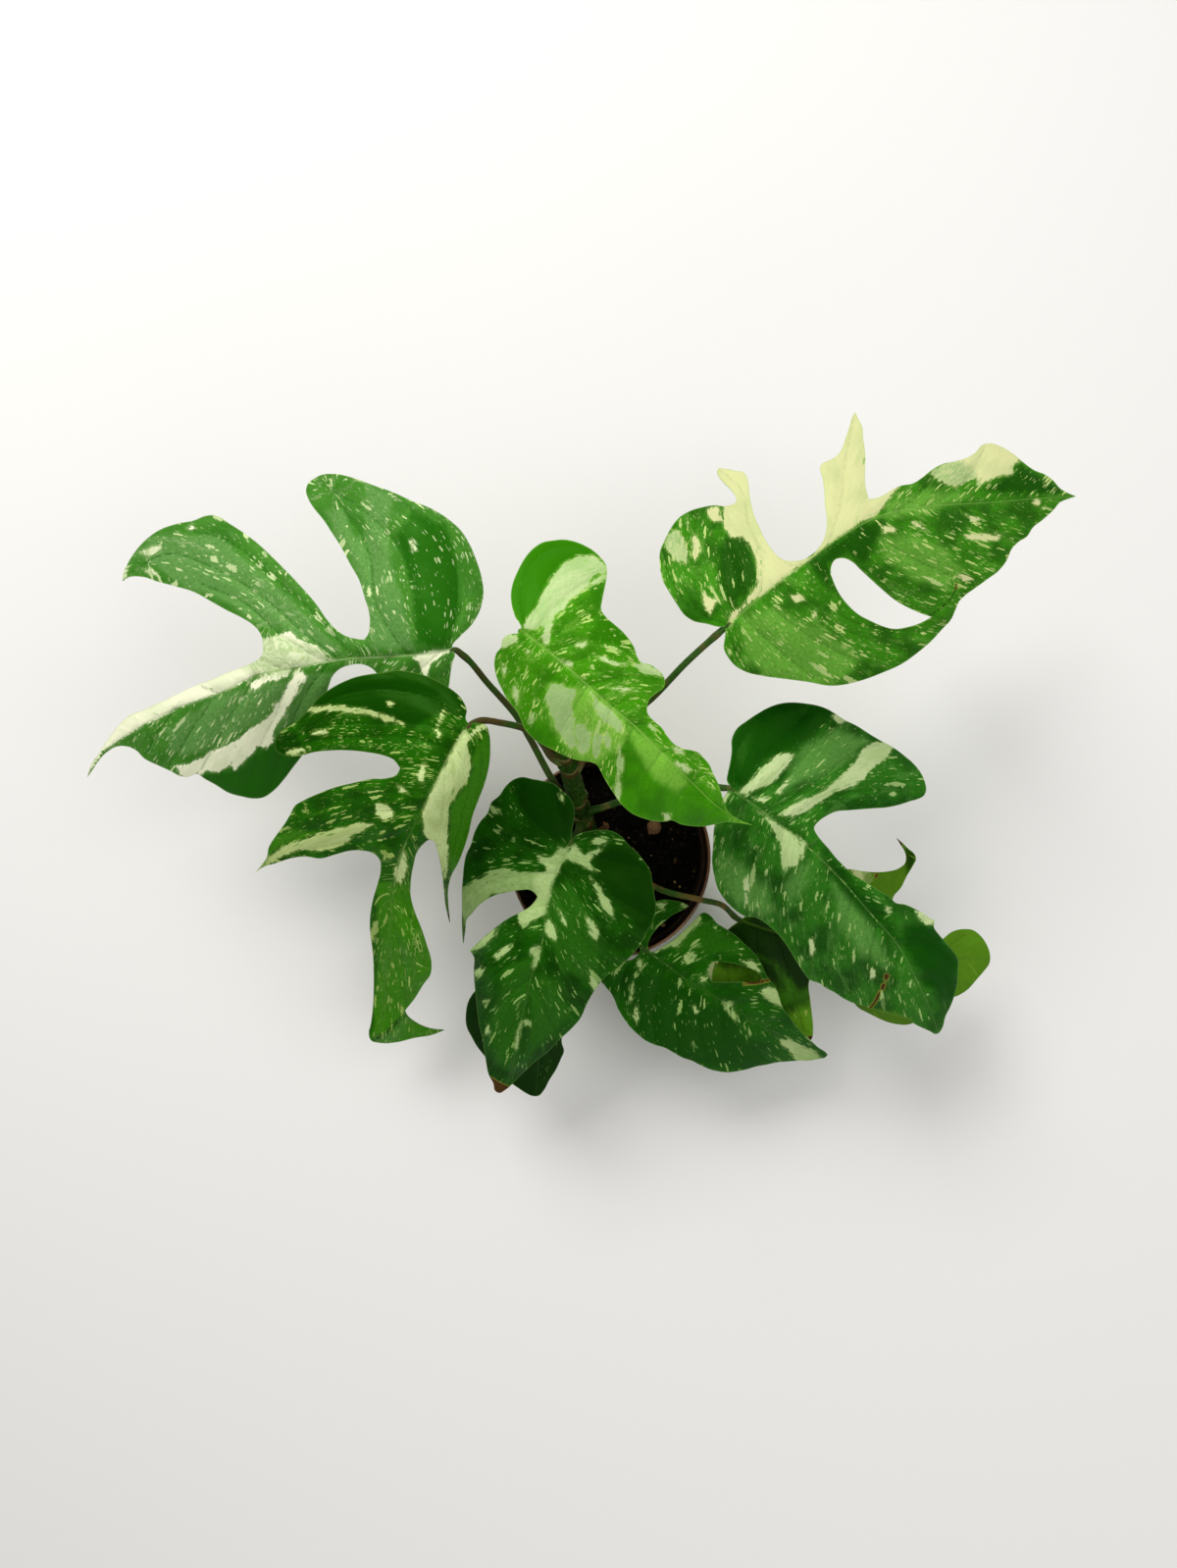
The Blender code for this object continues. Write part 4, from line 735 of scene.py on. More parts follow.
            [(535, 950), (550, 960), (548, 985), (535, 1005), (525, 985)],
        ],
        "dry": [
            [(500, 1097), (507, 1102), (515, 1106), (521, 1108), (509, 1120), (500, 1112)],
        ],
        "glow": [],
    },
    "leaf_lower_right": {
        "dull": [
            [(660, 925), (716, 925), (716, 975), (660, 975)],
        ],
        "cream": [
            [(664, 969), (680, 957), (695, 944), (707, 932), (712, 930), (716, 938), (708, 945), (699, 955), (690, 965), (680, 966), (670, 970)],
            [(697, 974), (703, 970), (710, 972), (708, 978), (703, 982), (697, 979)],
            [(755, 979), (768, 980), (776, 991), (770, 989), (762, 984)],
            [(776, 1008), (788, 1006), (793, 1010), (799, 1020), (802, 1028), (790, 1024), (782, 1018), (777, 1014)],
            [(794, 1060), (803, 1058), (815, 1064), (830, 1072), (838, 1079), (815, 1083), (806, 1072), (798, 1066)],
            [(736, 1023), (742, 1028), (750, 1033), (753, 1041), (746, 1036)],
            [(650, 985), (652, 976), (655, 982), (654, 990)],
            [(649, 1024), (651, 1035), (650, 1044), (647, 1040), (646, 1032)],
            [(705, 1025), (709, 1026), (712, 1031), (709, 1032)],
            [(668, 921), (679, 919), (677, 928)],
            [(693, 919), (704, 921), (705, 925), (698, 926)],
            [(721, 996), (722, 987), (727, 980), (726, 990)],
            [(713, 996), (720, 994), (720, 1000), (715, 1001)],
            [(644, 1005), (646, 1002), (645, 1018), (642, 1022)],
            [(738, 1020), (747, 1021), (746, 1027), (741, 1025)],
        ],
        "dark": [
            [(630, 1000), (640, 985), (700, 1005), (740, 1030), (760, 1060), (770, 1090), (700, 1085), (650, 1055)],
        ],
        "light": [
            [(690, 958), (718, 935), (745, 955), (765, 975), (720, 970), (700, 970)],
        ],
        "calm": [],
        "dry": [[(758, 1001.2), (768, 1000), (774, 998.7), (781, 998.8), (785, 997.6), (785, 1000.4), (777, 1002.2), (768, 1003.2), (758, 1004.2)]],
        "glow": [],
    },
    "leaf_low_right": {
        "cream": [
            [(866, 885), (885, 887), (892, 895), (885, 903), (872, 895)],
            [(712, 978), (733, 976), (729, 984), (726, 994), (724, 1012), (712, 1010)],
        ],
        # Painted shadow: the part of this leaf that the right leaf above shades.
        "dark": [
            [(735, 945), (770, 930), (810, 960), (828, 1000), (815, 1012), (795, 985), (750, 965)],
            [(760, 972), (790, 980), (800, 1010), (785, 1002), (770, 986)],
        ],
        # Painted light: these parts are kept bright although the leaves above shade them, for the light that comes
        # through those leaves.
        "light": [
            [(722, 984), (770, 988), (792, 1000), (740, 1014), (716, 1010)],
            [(797, 1036), (829, 1022), (835, 1070), (800, 1070), (780, 1052)],
        ],
        "calm": [
            [(720, 930), (830, 930), (830, 1030), (720, 1030)],
        ],
        "dry": [
            [(890, 889), (896, 890), (893, 896)],
            [(912, 850), (918, 856), (921, 862), (917, 862)],
            [(824, 1056), (832, 1056), (832, 1062), (826, 1062)],
        ],
        "glow": [
            [(955, 940), (1015, 940), (1015, 1020), (955, 1022)],
            [(860, 1020), (940, 1030), (940, 1050), (860, 1045)],
            [(880, 890), (925, 880), (925, 900), (905, 925), (880, 905)],
        ],
    },
    "leaf_low_front": {
        "cream": [],
        "dark": [
            [(470, 1015), (590, 1015), (590, 1122), (470, 1122)],
        ],
        "light": [],
        "calm": [
            [(470, 900), (530, 900), (530, 1122), (470, 1122)],
        ],
        "dry": [],
        "glow": [],
    },
}

# ---- plan geometry ---------------------------------------------------------------
def plan(points):
    """Sheet points in plan units from the pot's axis, x to the right and y up."""
    flat = np.asarray(points, float).reshape(-1, 2)
    return np.stack([flat[:, 0] - AXIS_X, AXIS_Y - flat[:, 1]], 1)


def carried(flat, z):
    """The points at heights z, in mm, that the plan shows at the plan points."""
    on_rim = np.asarray(flat, float) * PLAN_UNIT
    reach = (SIGHT[2] - z) / (SIGHT[2] - RIM_Z)
    place = SIGHT[:2] + (on_rim - SIGHT[:2]) * np.asarray(reach)[:, None]
    return np.column_stack([place, z])


def spread(squared):
    return 0.5 * squared * np.log(np.maximum(squared, 1e-12))


class Sheet:
    """A smooth height field (thin plate) through height marks."""

    def __init__(self, marks):
        marks = np.array(marks, float)
        count = len(marks)
        self.flat = marks[:, :2] / 100.0
        squared = ((self.flat[:, None] - self.flat[None]) ** 2).sum(-1)
        system = np.zeros((count + 3, count + 3))
        system[:count, :count] = spread(squared) + 0.002 * np.eye(count)
        system[:count, count] = 1.0
        system[:count, count + 1 :] = self.flat
        system[count:, :count] = system[:count, count:].T
        self.weights = np.linalg.solve(system, np.append(marks[:, 2], [0, 0, 0]))

    def heights(self, points):
        here = np.asarray(points, float) / 100.0
        squared = ((here[:, None] - self.flat[None]) ** 2).sum(-1)
        count = len(self.flat)
        bend = spread(squared) @ self.weights[:count]
        return bend + self.weights[count] + here @ self.weights[count + 1 :]


def inside(points, loop):
    """True for the points that lie in the loop."""
    x, y = points[:, 0], points[:, 1]
    found = np.zeros(len(points), bool)
    ends = np.roll(loop, -1, 0)
    for (x0, y0), (x1, y1) in zip(loop, ends):
        if y0 != y1:
            found ^= ((y0 > y) != (y1 > y)) & (x < (x1 - x0) * (y - y0) / (y1 - y0) + x0)
    return found


def to_path(points, path, closed=False):
    """For each point: its distance to the path, the length along the path there, and its side of it."""
    path = np.asarray(path, float)
    starts = path if closed else path[:-1]
    ends = np.roll(path, -1, 0) if closed else path[1:]
    best = np.full(len(points), 1e9)
    along = np.zeros(len(points))
    side = np.ones(len(points))
    gone = 0.0
    for a, b in zip(starts, ends):
        step = b - a
        length = float(np.hypot(*step))
        if length < 1e-9:
            continue
        off = points - a
        t = np.clip(off @ step / length**2, 0.0, 1.0)
        gap = off - t[:, None] * step
        distance = np.hypot(gap[:, 0], gap[:, 1])
        near = distance < best
        best = np.where(near, distance, best)
        along = np.where(near, gone + t * length, along)
        side = np.where(near, np.sign(step[0] * off[:, 1] - step[1] * off[:, 0] + 1e-12), side)
        gone += length
    return best, along, side


def signed(points, loops):
    """The distance into the nearest of the loops, in plan units, below 0 outside."""
    found = np.full(len(points), -60.0)
    for loop in loops:
        flat = plan(loop)
        distance = to_path(points, flat, closed=True)[0]
        found = np.maximum(found, np.where(inside(points, flat), distance, -distance))
    return np.maximum(found, -60.0)


def eased(loop, step, corner=58.0):
    """The loop as a smooth line with points about a step apart. Its sharp corners stay sharp."""
    points = np.array(loop, float)
    count = len(points)
    ahead = np.roll(points, -1, 0) - points
    lengths = np.maximum(np.hypot(ahead[:, 0], ahead[:, 1]), 1e-6)
    units = ahead / lengths[:, None]
    into, out = np.zeros_like(points), np.zeros_like(points)
    for i in range(count):
        before, after = units[i - 1], units[i]
        turn = math.degrees(math.acos(max(-1.0, min(1.0, float(before @ after)))))
        if turn > corner:
            into[i], out[i] = before, after
        else:
            mean = before * lengths[i] + after * lengths[i - 1]
            into[i] = out[i] = mean / max(np.hypot(*mean), 1e-9)
    line = []
    for i in range(count):
        j = (i + 1) % count
        parts = max(1, int(round(lengths[i] / step)))
        for k in range(parts):
            t = k / parts
            h = (2 * t**3 - 3 * t**2 + 1, t**3 - 2 * t**2 + t, 3 * t**2 - 2 * t**3, t**3 - t**2)
            line.append(
                h[0] * points[i] + h[1] * lengths[i] * out[i] + h[2] * points[j] + h[3] * lengths[i] * into[j]
            )
    return np.array(line)


def eased_line(points, step):
    """An open smooth line through the points, about a step apart, in 2D or 3D."""
    points = np.array(points, float)
    if len(points) == 2:
        parts = max(1, int(round(np.linalg.norm(points[1] - points[0]) / step)))
        return points[0] + (points[1] - points[0]) * np.linspace(0, 1, parts + 1)[:, None]
    ahead = np.diff(points, axis=0)
    lengths = np.maximum(np.linalg.norm(ahead, axis=1), 1e-6)
    units = ahead / lengths[:, None]
    tangents = [units[0]]
    for i in range(1, len(points) - 1):
        mean = units[i - 1] * lengths[i] + units[i] * lengths[i - 1]
        tangents.append(mean / max(np.linalg.norm(mean), 1e-9))
    tangents.append(units[-1])
    line = []
    for i, length in enumerate(lengths):
        parts = max(1, int(round(length / step)))
        for k in range(parts):
            t = k / parts
            h = (2 * t**3 - 3 * t**2 + 1, t**3 - 2 * t**2 + t, 3 * t**2 - 2 * t**3, t**3 - t**2)
            line.append(
                h[0] * points[i] + h[1] * length * tangents[i] + h[2] * points[i + 1] + h[3] * length * tangents[i + 1]
            )
    line.append(points[-1])
    return np.array(line)


def wave(points, scale, seed):
    """A smooth wave field over points, about -1 to 1."""
    return np.array([noise.noise(Vector((p[0] / scale, p[1] / scale, seed))) for p in points])


# ---- node helper -----------------------------------------------------------------
def linear(r, g, b):
    """The linear colour of an 8-bit sRGB one."""
    return tuple((c / 12.92 if c <= 0.04045 else ((c + 0.055) / 1.055) ** 2.4) for c in (r / 255, g / 255, b / 255))


class Value:
    """A socket that can be added, multiplied and so on, as nodes."""

    def __init__(self, net, socket):
        self.net, self.socket = net, socket

    def __add__(self, other):
        return self.net.math("ADD", self, other)

    def __sub__(self, other):
        return self.net.math("SUBTRACT", self, other)

    def __rsub__(self, other):
        return self.net.math("SUBTRACT", other, self)

    def __mul__(self, other):
        return self.net.math("MULTIPLY", self, other)

    __radd__ = __add__
    __rmul__ = __mul__

    def step(self, low, high):
        return self.net.step(self, low, high)


class Net:
    def __init__(self, name):
        self.material = bpy.data.materials.new(name)
        self.material.use_nodes = True
        self.tree = self.material.node_tree
        self.shader = self.tree.nodes["Principled BSDF"]

    def put(self, socket, value):
        if isinstance(value, Value):
            self.tree.links.new(value.socket, socket)
        elif isinstance(value, tuple) and len(value) == 3 and socket.type == "RGBA":
            socket.default_value = (*value, 1.0)
        else:
            socket.default_value = value

    def node(self, kind, **settings):
        made = self.tree.nodes.new(kind)
        for key, value in settings.items():
            setattr(made, key, value)
        return made

    def math(self, operation, a, b=None, c=None, clamp=False):
        made = self.node("ShaderNodeMath", operation=operation, use_clamp=clamp)
        for socket, value in zip(made.inputs, (a, b, c)):
            if value is not None:
                self.put(socket, value)
        return Value(self, made.outputs[0])

    def most(self, a, b):
        return self.math("MAXIMUM", a, b)

    def least(self, a, b):
        return self.math("MINIMUM", a, b)

    def size(self, a):
        return self.math("ABSOLUTE", a)

    def step(self, value, low, high):
        made = self.node("ShaderNodeMapRange", interpolation_type="SMOOTHSTEP", clamp=True)
        self.put(made.inputs["Value"], value)
        self.put(made.inputs["From Min"], low)
        self.put(made.inputs["From Max"], high)
        return Value(self, made.outputs[0])

    def attribute(self, name, vector=True):
        made = self.node("ShaderNodeAttribute", attribute_name=name)
        return Value(self, made.outputs["Vector" if vector else "Fac"])

    def parts(self, vector):
        made = self.node("ShaderNodeSeparateXYZ")
        self.put(made.inputs[0], vector)
        return [Value(self, s) for s in made.outputs]

    def join(self, x, y, z):
        made = self.node("ShaderNodeCombineXYZ")
        for socket, value in zip(made.inputs, (x, y, z)):
            self.put(socket, value)
        return Value(self, made.outputs[0])

    def place(self):
        """The point on the object, in mm."""
        made = self.node("ShaderNodeTexCoord")
        scaled = self.node("ShaderNodeVectorMath", operation="SCALE")
        self.tree.links.new(made.outputs["Object"], scaled.inputs[0])
        scaled.inputs["Scale"].default_value = 1000.0
        return Value(self, scaled.outputs[0])

    def moved(self, vector, scale=(1, 1, 1), shift=(0, 0, 0)):
        made = self.node("ShaderNodeMapping")
        self.put(made.inputs["Vector"], vector)
        made.inputs["Scale"].default_value = scale
        made.inputs["Location"].default_value = shift
        return Value(self, made.outputs[0])

    def noise(self, vector, scale, detail=2.0, rough=0.5, twist=0.0):
        made = self.node("ShaderNodeTexNoise")
        self.put(made.inputs["Vector"], vector)
        made.inputs["Scale"].default_value = scale
        made.inputs["Detail"].default_value = detail
        made.inputs["Roughness"].default_value = rough
        made.inputs["Distortion"].default_value = twist
        return Value(self, made.outputs[0])

    def cells(self, vector, scale, feature="F1", out="Distance"):
        made = self.node("ShaderNodeTexVoronoi", feature=feature)
        self.put(made.inputs["Vector"], vector)
        made.inputs["Scale"].default_value = scale
        return Value(self, made.outputs[out])

    def mix(self, share, a, b):
        made = self.node("ShaderNodeMix", data_type="RGBA")
        self.put(made.inputs[0], share)
        self.put(made.inputs[6], a)
        self.put(made.inputs[7], b)
        return Value(self, made.outputs[2])

    def bump(self, height, strength, distance, under=None):
        made = self.node("ShaderNodeBump")
        made.inputs["Strength"].default_value = strength
        made.inputs["Distance"].default_value = distance * MM
        self.put(made.inputs["Height"], height)
        if under is not None:
            self.put(made.inputs["Normal"], under)
        return Value(self, made.outputs[0])

    def finish(self, colour, rough, normal=None, **constants):
        self.put(self.shader.inputs["Base Color"], colour)
        self.put(self.shader.inputs["Roughness"], rough)
        if normal is not None:
            self.put(self.shader.inputs["Normal"], normal)
        for key, value in constants.items():
            self.shader.inputs[key.replace("_", " ")].default_value = value
        return self.material


def new_object(name, points, faces, mats, flip=False):
    """A piece that rides on the root body. Its points are in mm."""
    mesh = bpy.data.meshes.new(name)
    mesh.from_pydata([tuple(p) for p in np.asarray(points) * MM], [], [tuple(f) for f in faces])
    mesh.update()
    for polygon in mesh.polygons:
        polygon.use_smooth = True
    obj = bpy.data.objects.new(name, mesh)
    bpy.context.scene.collection.objects.link(obj)
    for mat in mats if isinstance(mats, (list, tuple)) else [mats]:
        mesh.materials.append(mat)
    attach(obj, "root")
    return obj


def paint(obj, name, values):
    """Stores one number, or three, at each of the mesh's points."""
    values = np.asarray(values, np.float32)
    kind = "FLOAT" if values.ndim == 1 else "FLOAT_VECTOR"
    layer = obj.data.attributes.new(name, kind, "POINT")
    layer.data.foreach_set("value" if values.ndim == 1 else "vector", values.ravel())


# ---- leaf materials ----------------------------------------------------------------
def streaks_of(net, across, along, wide, long, share, ragged, seed, least=0.07, most=0.40, faint=0.55):
    """Separate long spots that lie along the side veins: one in each cell of a stretched net, where share allows it.

    Some are fainter than others, by up to the faint share.
    """
    at = net.join(across * (1.0 / wide) + ragged * 0.75, along * (1.0 / long) + ragged * 0.45 + seed, 0.0)
    cell = net.node("ShaderNodeTexVoronoi", feature="F1", voronoi_dimensions="2D")
    net.put(cell.inputs["Vector"], at)
    cell.inputs["Scale"].default_value = 1.0
    chance, extent, tone = net.parts(Value(net, cell.outputs["Color"]))
    radius = extent * extent * (most - least) + least
    spot = net.step(radius - Value(net, cell.outputs["Distance"]), 0.0, 0.045)
    return spot * net.step(share - chance, 0.0, 0.02) * (tone * faint + (1.0 - faint))


def leaf_material(name, base, deep, pale, cream, cream_low, fleck, flecks, seed, marble=0.0, mottle=1.0, rough=0.38, ribbed=0.5, soft=4.0, crease=0.3, valley=0.4, blotches=0.7, aged=0.8, varied=1.0):
    """The upper face of a blade.

    base, deep and pale are its greens. Cream tissue breaks up along the side veins into streaks.
    flecks is how much of the green carries pale flecks, which also run along the side veins,
    and marble is how many more of them the light areas, which are partly painted sheen and painted light, have. soft is
    how gradual the edges of the light and plain areas are, crease how much shade is painted along the side veins,
    valley how deep the midrib looks, and blotches how much the cream varies.
    aged is how speckled the cream is, and varied how much the green varies.
    """
    base, deep, pale, cream, cream_low, fleck = (linear(*c) for c in (base, deep, pale, cream, cream_low, fleck))
    net = Net(name)
    at = net.place()
    sheet_at = net.attribute("sheet_at")
    flow = net.attribute("flow")
    across, along, edge = net.parts(flow)
    cream_d, dark_d, light_d = net.parts(net.attribute("patch_a"))
    calm_d, dry_d, glow_d = net.parts(net.attribute("patch_b"))
    dull_d = net.attribute("dull", vector=False)
    mid_d, vein_d, mid_w = net.parts(net.attribute("veins"))
    streaks = net.noise(net.join(across * 0.16, along * 0.04, seed), 1.0, 2.0, 0.55)
    fine = net.noise(net.join(across * 0.40, along * 0.10, seed + 3.0), 1.0, 2.0, 0.6)
    broad = net.noise(net.moved(sheet_at, (1, 1, 1), (seed * 9, 0, 0)), 0.030, 2.0, 0.5)
    grain = net.noise(net.moved(sheet_at, (1, 1, 1), (0, seed * 9, 0)), 0.30, 3.0, 0.6)
    pores = net.noise(at, 2.2, 2.0, 0.6)
    ragged = grain - 0.5

    wander = (streaks - 0.5) * (6.0 + soft * 1.5) + ragged * 3.0
    calm = net.step(calm_d + ragged * 5.0, -0.7 * soft, 0.7 * soft)
    dark = net.step(dark_d + wander, -soft, soft)
    light = net.step(light_d + wander, -soft, soft)

    green = net.mix(net.step(broad + (streaks - 0.5) * 0.25, 0.40, 0.66) * varied, base, deep)
    green = net.mix(net.step(streaks, 0.52, 0.68) * 0.35 * (1.0 - calm), green, pale)
    # Light areas: paler tissue and painted sheen or painted light; dark areas: plain deep green, and on the low right
    # leaf painted shadow.
    green = net.mix(light * 0.85, green, pale)
    green = net.mix(dark * 0.92, green, deep)
    green = net.mix(net.step(grain, 0.38, 0.70) * (0.30 * mottle), green, deep)
    plain = (1.0 - dark * 0.7) * (1.0 - calm * 0.4)
    green = net.mix(net.step(pores, 0.45, 0.75) * plain * (0.18 * mottle), green, pale)

    # Pale flecks: streaky spots that gather in some areas and keep off the plain ones.
    gathered = net.step(broad, 0.62, 0.38) * 0.9 + 0.35
    room = (1.0 - calm) * (1.0 - dark * 0.6) * flecks
    more = light * (1.0 - calm) * marble
    spots = streaks_of(net, across, along, 6.6, 32.0, room * gathered * 0.11 + more * 0.30, ragged, seed, faint=0.25)
    specks = streaks_of(net, across, along, 3.7, 21.0, room * gathered * 0.40 + more * 0.42, ragged, seed + 11.3, most=0.37, faint=0.35)
    dots = streaks_of(net, across, along, 2.4, 12.0, room * gathered * 0.50 + more * 0.5, ragged, seed + 23.9, most=0.36, faint=0.6)
    pricks = streaks_of(net, across, along, 1.7, 5.6, room * gathered * 0.28 + more * 0.3, ragged, seed + 37.1, most=0.30, faint=0.8)
    clear = net.step(mid_d, 0.8, 2.6)
    green = net.mix(pricks * clear * 0.45, green, fleck)
    green = net.mix(dots * clear * 0.75, green, fleck)
    green = net.mix(specks * clear * 0.95, green, fleck)
    green = net.mix(spots * clear * 0.97, green, net.mix(0.5, fleck, cream_low))

    # Cream tissue, with ragged streaky borders, and green specks left inside it.
    torn = (streaks - 0.5) * 5.0 + (fine - 0.5) * 7.0 + ragged * 4.0
    creamed = net.step(cream_d + torn, -0.35, 0.35)
    halo = net.step(cream_d + torn, -2.6, 0.2)
    blotch = net.noise(net.moved(sheet_at, (1, 1, 1), (seed * 5, seed, 0)), 0.022, 1.0, 0.5)
    toned = net.mix(net.step(blotch + (streaks - 0.5) * 0.7, 0.42, 0.70) * blotches, cream, cream_low)
    toned = net.mix(net.step(grain + (fine - 0.5) * 0.5, 0.45, 0.70) * (0.50 * aged), toned, cream_low)
    toned = net.mix(net.step(pores, 0.48, 0.75) * (0.28 * aged), toned, net.mix(0.3, cream_low, pale))
    marbled = net.step(fine * 0.6 + grain * 0.4 + (blotch - 0.5) * 0.3, 0.40, 0.60)
    toned = net.mix(net.step(dull_d + (streaks - 0.5) * 12.0 + ragged * 6.0, -4.0, 4.0) * (0.95 - marbled * 0.55), toned, cream_low)
    left = streaks_of(net, across, along, 3.0, 13.0, net.step(cream_d, 10.0, 3.0) * 0.26 + 0.05 * aged, ragged, seed + 41.0)
    green = net.mix(halo * 0.30, green, fleck)
    tissue = net.mix(creamed, green, net.mix(left * 0.75, toned, pale))

    # Midrib, side veins with painted shade in their creases, and the thin paler margin.
    rib = net.step(1.0 - net.math("DIVIDE", mid_d, mid_w), 0.0, 0.5)
    side = 1.0 - net.step(vein_d, 0.3, 1.9)
    tissue = net.mix(side * crease * (1.0 - creamed * 0.6), tissue, deep)
    web = net.node("ShaderNodeTexVoronoi", feature="DISTANCE_TO_EDGE", voronoi_dimensions="2D")
    net.put(web.inputs["Vector"], net.join(across * 0.62 + ragged * 0.5, along * 0.36 + ragged * 0.5, 0.0))
    web.inputs["Scale"].default_value = 1.0
    web = Value(net, web.outputs["Distance"])
    lines = 1.0 - net.step(web, 0.0, 0.16)
    tissue = net.mix(lines * (1.0 - creamed) * plain * (0.16 * mottle), tissue, pale)
    tissue = net.mix(lines * creamed * (0.20 * aged), tissue, net.mix(0.35, cream_low, pale))
    tissue = net.mix(rib * ribbed, tissue, net.mix(0.35, pale, fleck))
    tissue = net.mix((1.0 - net.step(edge, 0.3, 1.2)) * 0.30, tissue, net.mix(0.4, pale, fleck))

    # Light coming through, and dead tissue with an olive border.
    tissue = net.mix(net.step(glow_d + (streaks - 0.5) * 10.0, -3.0, 4.0) * 0.8, tissue, linear(82, 124, 24))
    tissue = net.mix(net.step(dry_d + ragged * 1.5, -1.5, -0.5) * 0.6, tissue, linear(132, 130, 44))
    # Painted shade: a dark line along the fold of a turned-down flap and along the split where two lobes overlap.
    shade_line_distance = net.attribute("shade_line_distance", vector=False)
    tissue = net.mix((1.0 - net.step(shade_line_distance, 0.4, 1.5)) * 0.75, tissue, linear(14, 34, 6))
    brown = net.mix(grain, linear(40, 24, 10), linear(92, 58, 28))
    dead = net.step(dry_d + ragged * 1.6, -0.5, 0.3)
    tissue = net.mix(dead, tissue, brown)

    rough = rough + ragged * 0.14 + creamed * 0.05 + dead * 0.35 + (pores - 0.5) * 0.08
    ribs = (1.0 - net.step(vein_d, 0.0, 2.6)) * -0.75 + (net.step(mid_d, 0.0, 2.2) - 1.0) * valley
    skin = net.bump(pores + net.step(web, 0.0, 0.35) * 0.8, 0.30, 0.10)
    folds = net.bump(streaks + fine * 0.35, 0.30, 0.6, skin)
    normal = net.bump(ribs, 0.5, 0.6, folds)
    return net.finish(tissue, rough, normal, Specular_IOR_Level=0.11, Specular_Tint=(0.36, 1.0, 0.12, 1.0))


def under_material(name, base, pale, seed):
    """The duller, paler underside of a blade, with raised veins."""
    net = Net(name)
    at = net.place()
    across, along, edge = net.parts(net.attribute("flow"))
    cream_d, dark_d, light_d = net.parts(net.attribute("patch_a"))
    mid_d, vein_d, mid_w = net.parts(net.attribute("veins"))
    streaks = net.noise(net.join(across * 0.21, along * 0.05, seed), 1.0, 2.0, 0.55)
    fine = net.noise(net.join(across * 0.52, along * 0.11, seed + 3.0), 1.0, 2.0, 0.6)
    grain = net.noise(at, 0.7, 3.0, 0.6)
    colour = net.mix(grain, base, net.mix(0.4, base, pale))
    ragged = (streaks - 0.5) * 5.0 + (fine - 0.5) * 7.0
    colour = net.mix(net.step(cream_d + ragged, -0.8, 0.8) * 0.8, colour, linear(172, 188, 120))
    colour = net.mix((1.0 - net.step(vein_d, 0.4, 1.5)) * 0.4, colour, pale)
    colour = net.mix((1.0 - net.step(mid_d, 0.8, 2.4)) * 0.5, colour, pale)
    ribs = (1.0 - net.step(vein_d, 0.0, 1.6)) * 0.7 + (1.0 - net.step(mid_d, 0.0, 2.4))
    normal = net.bump(ribs, 0.6, 0.6, net.bump(grain, 0.3, 0.25))
    return net.finish(colour, 0.52 + (grain - 0.5) * 0.15, normal, Specular_IOR_Level=0.35)


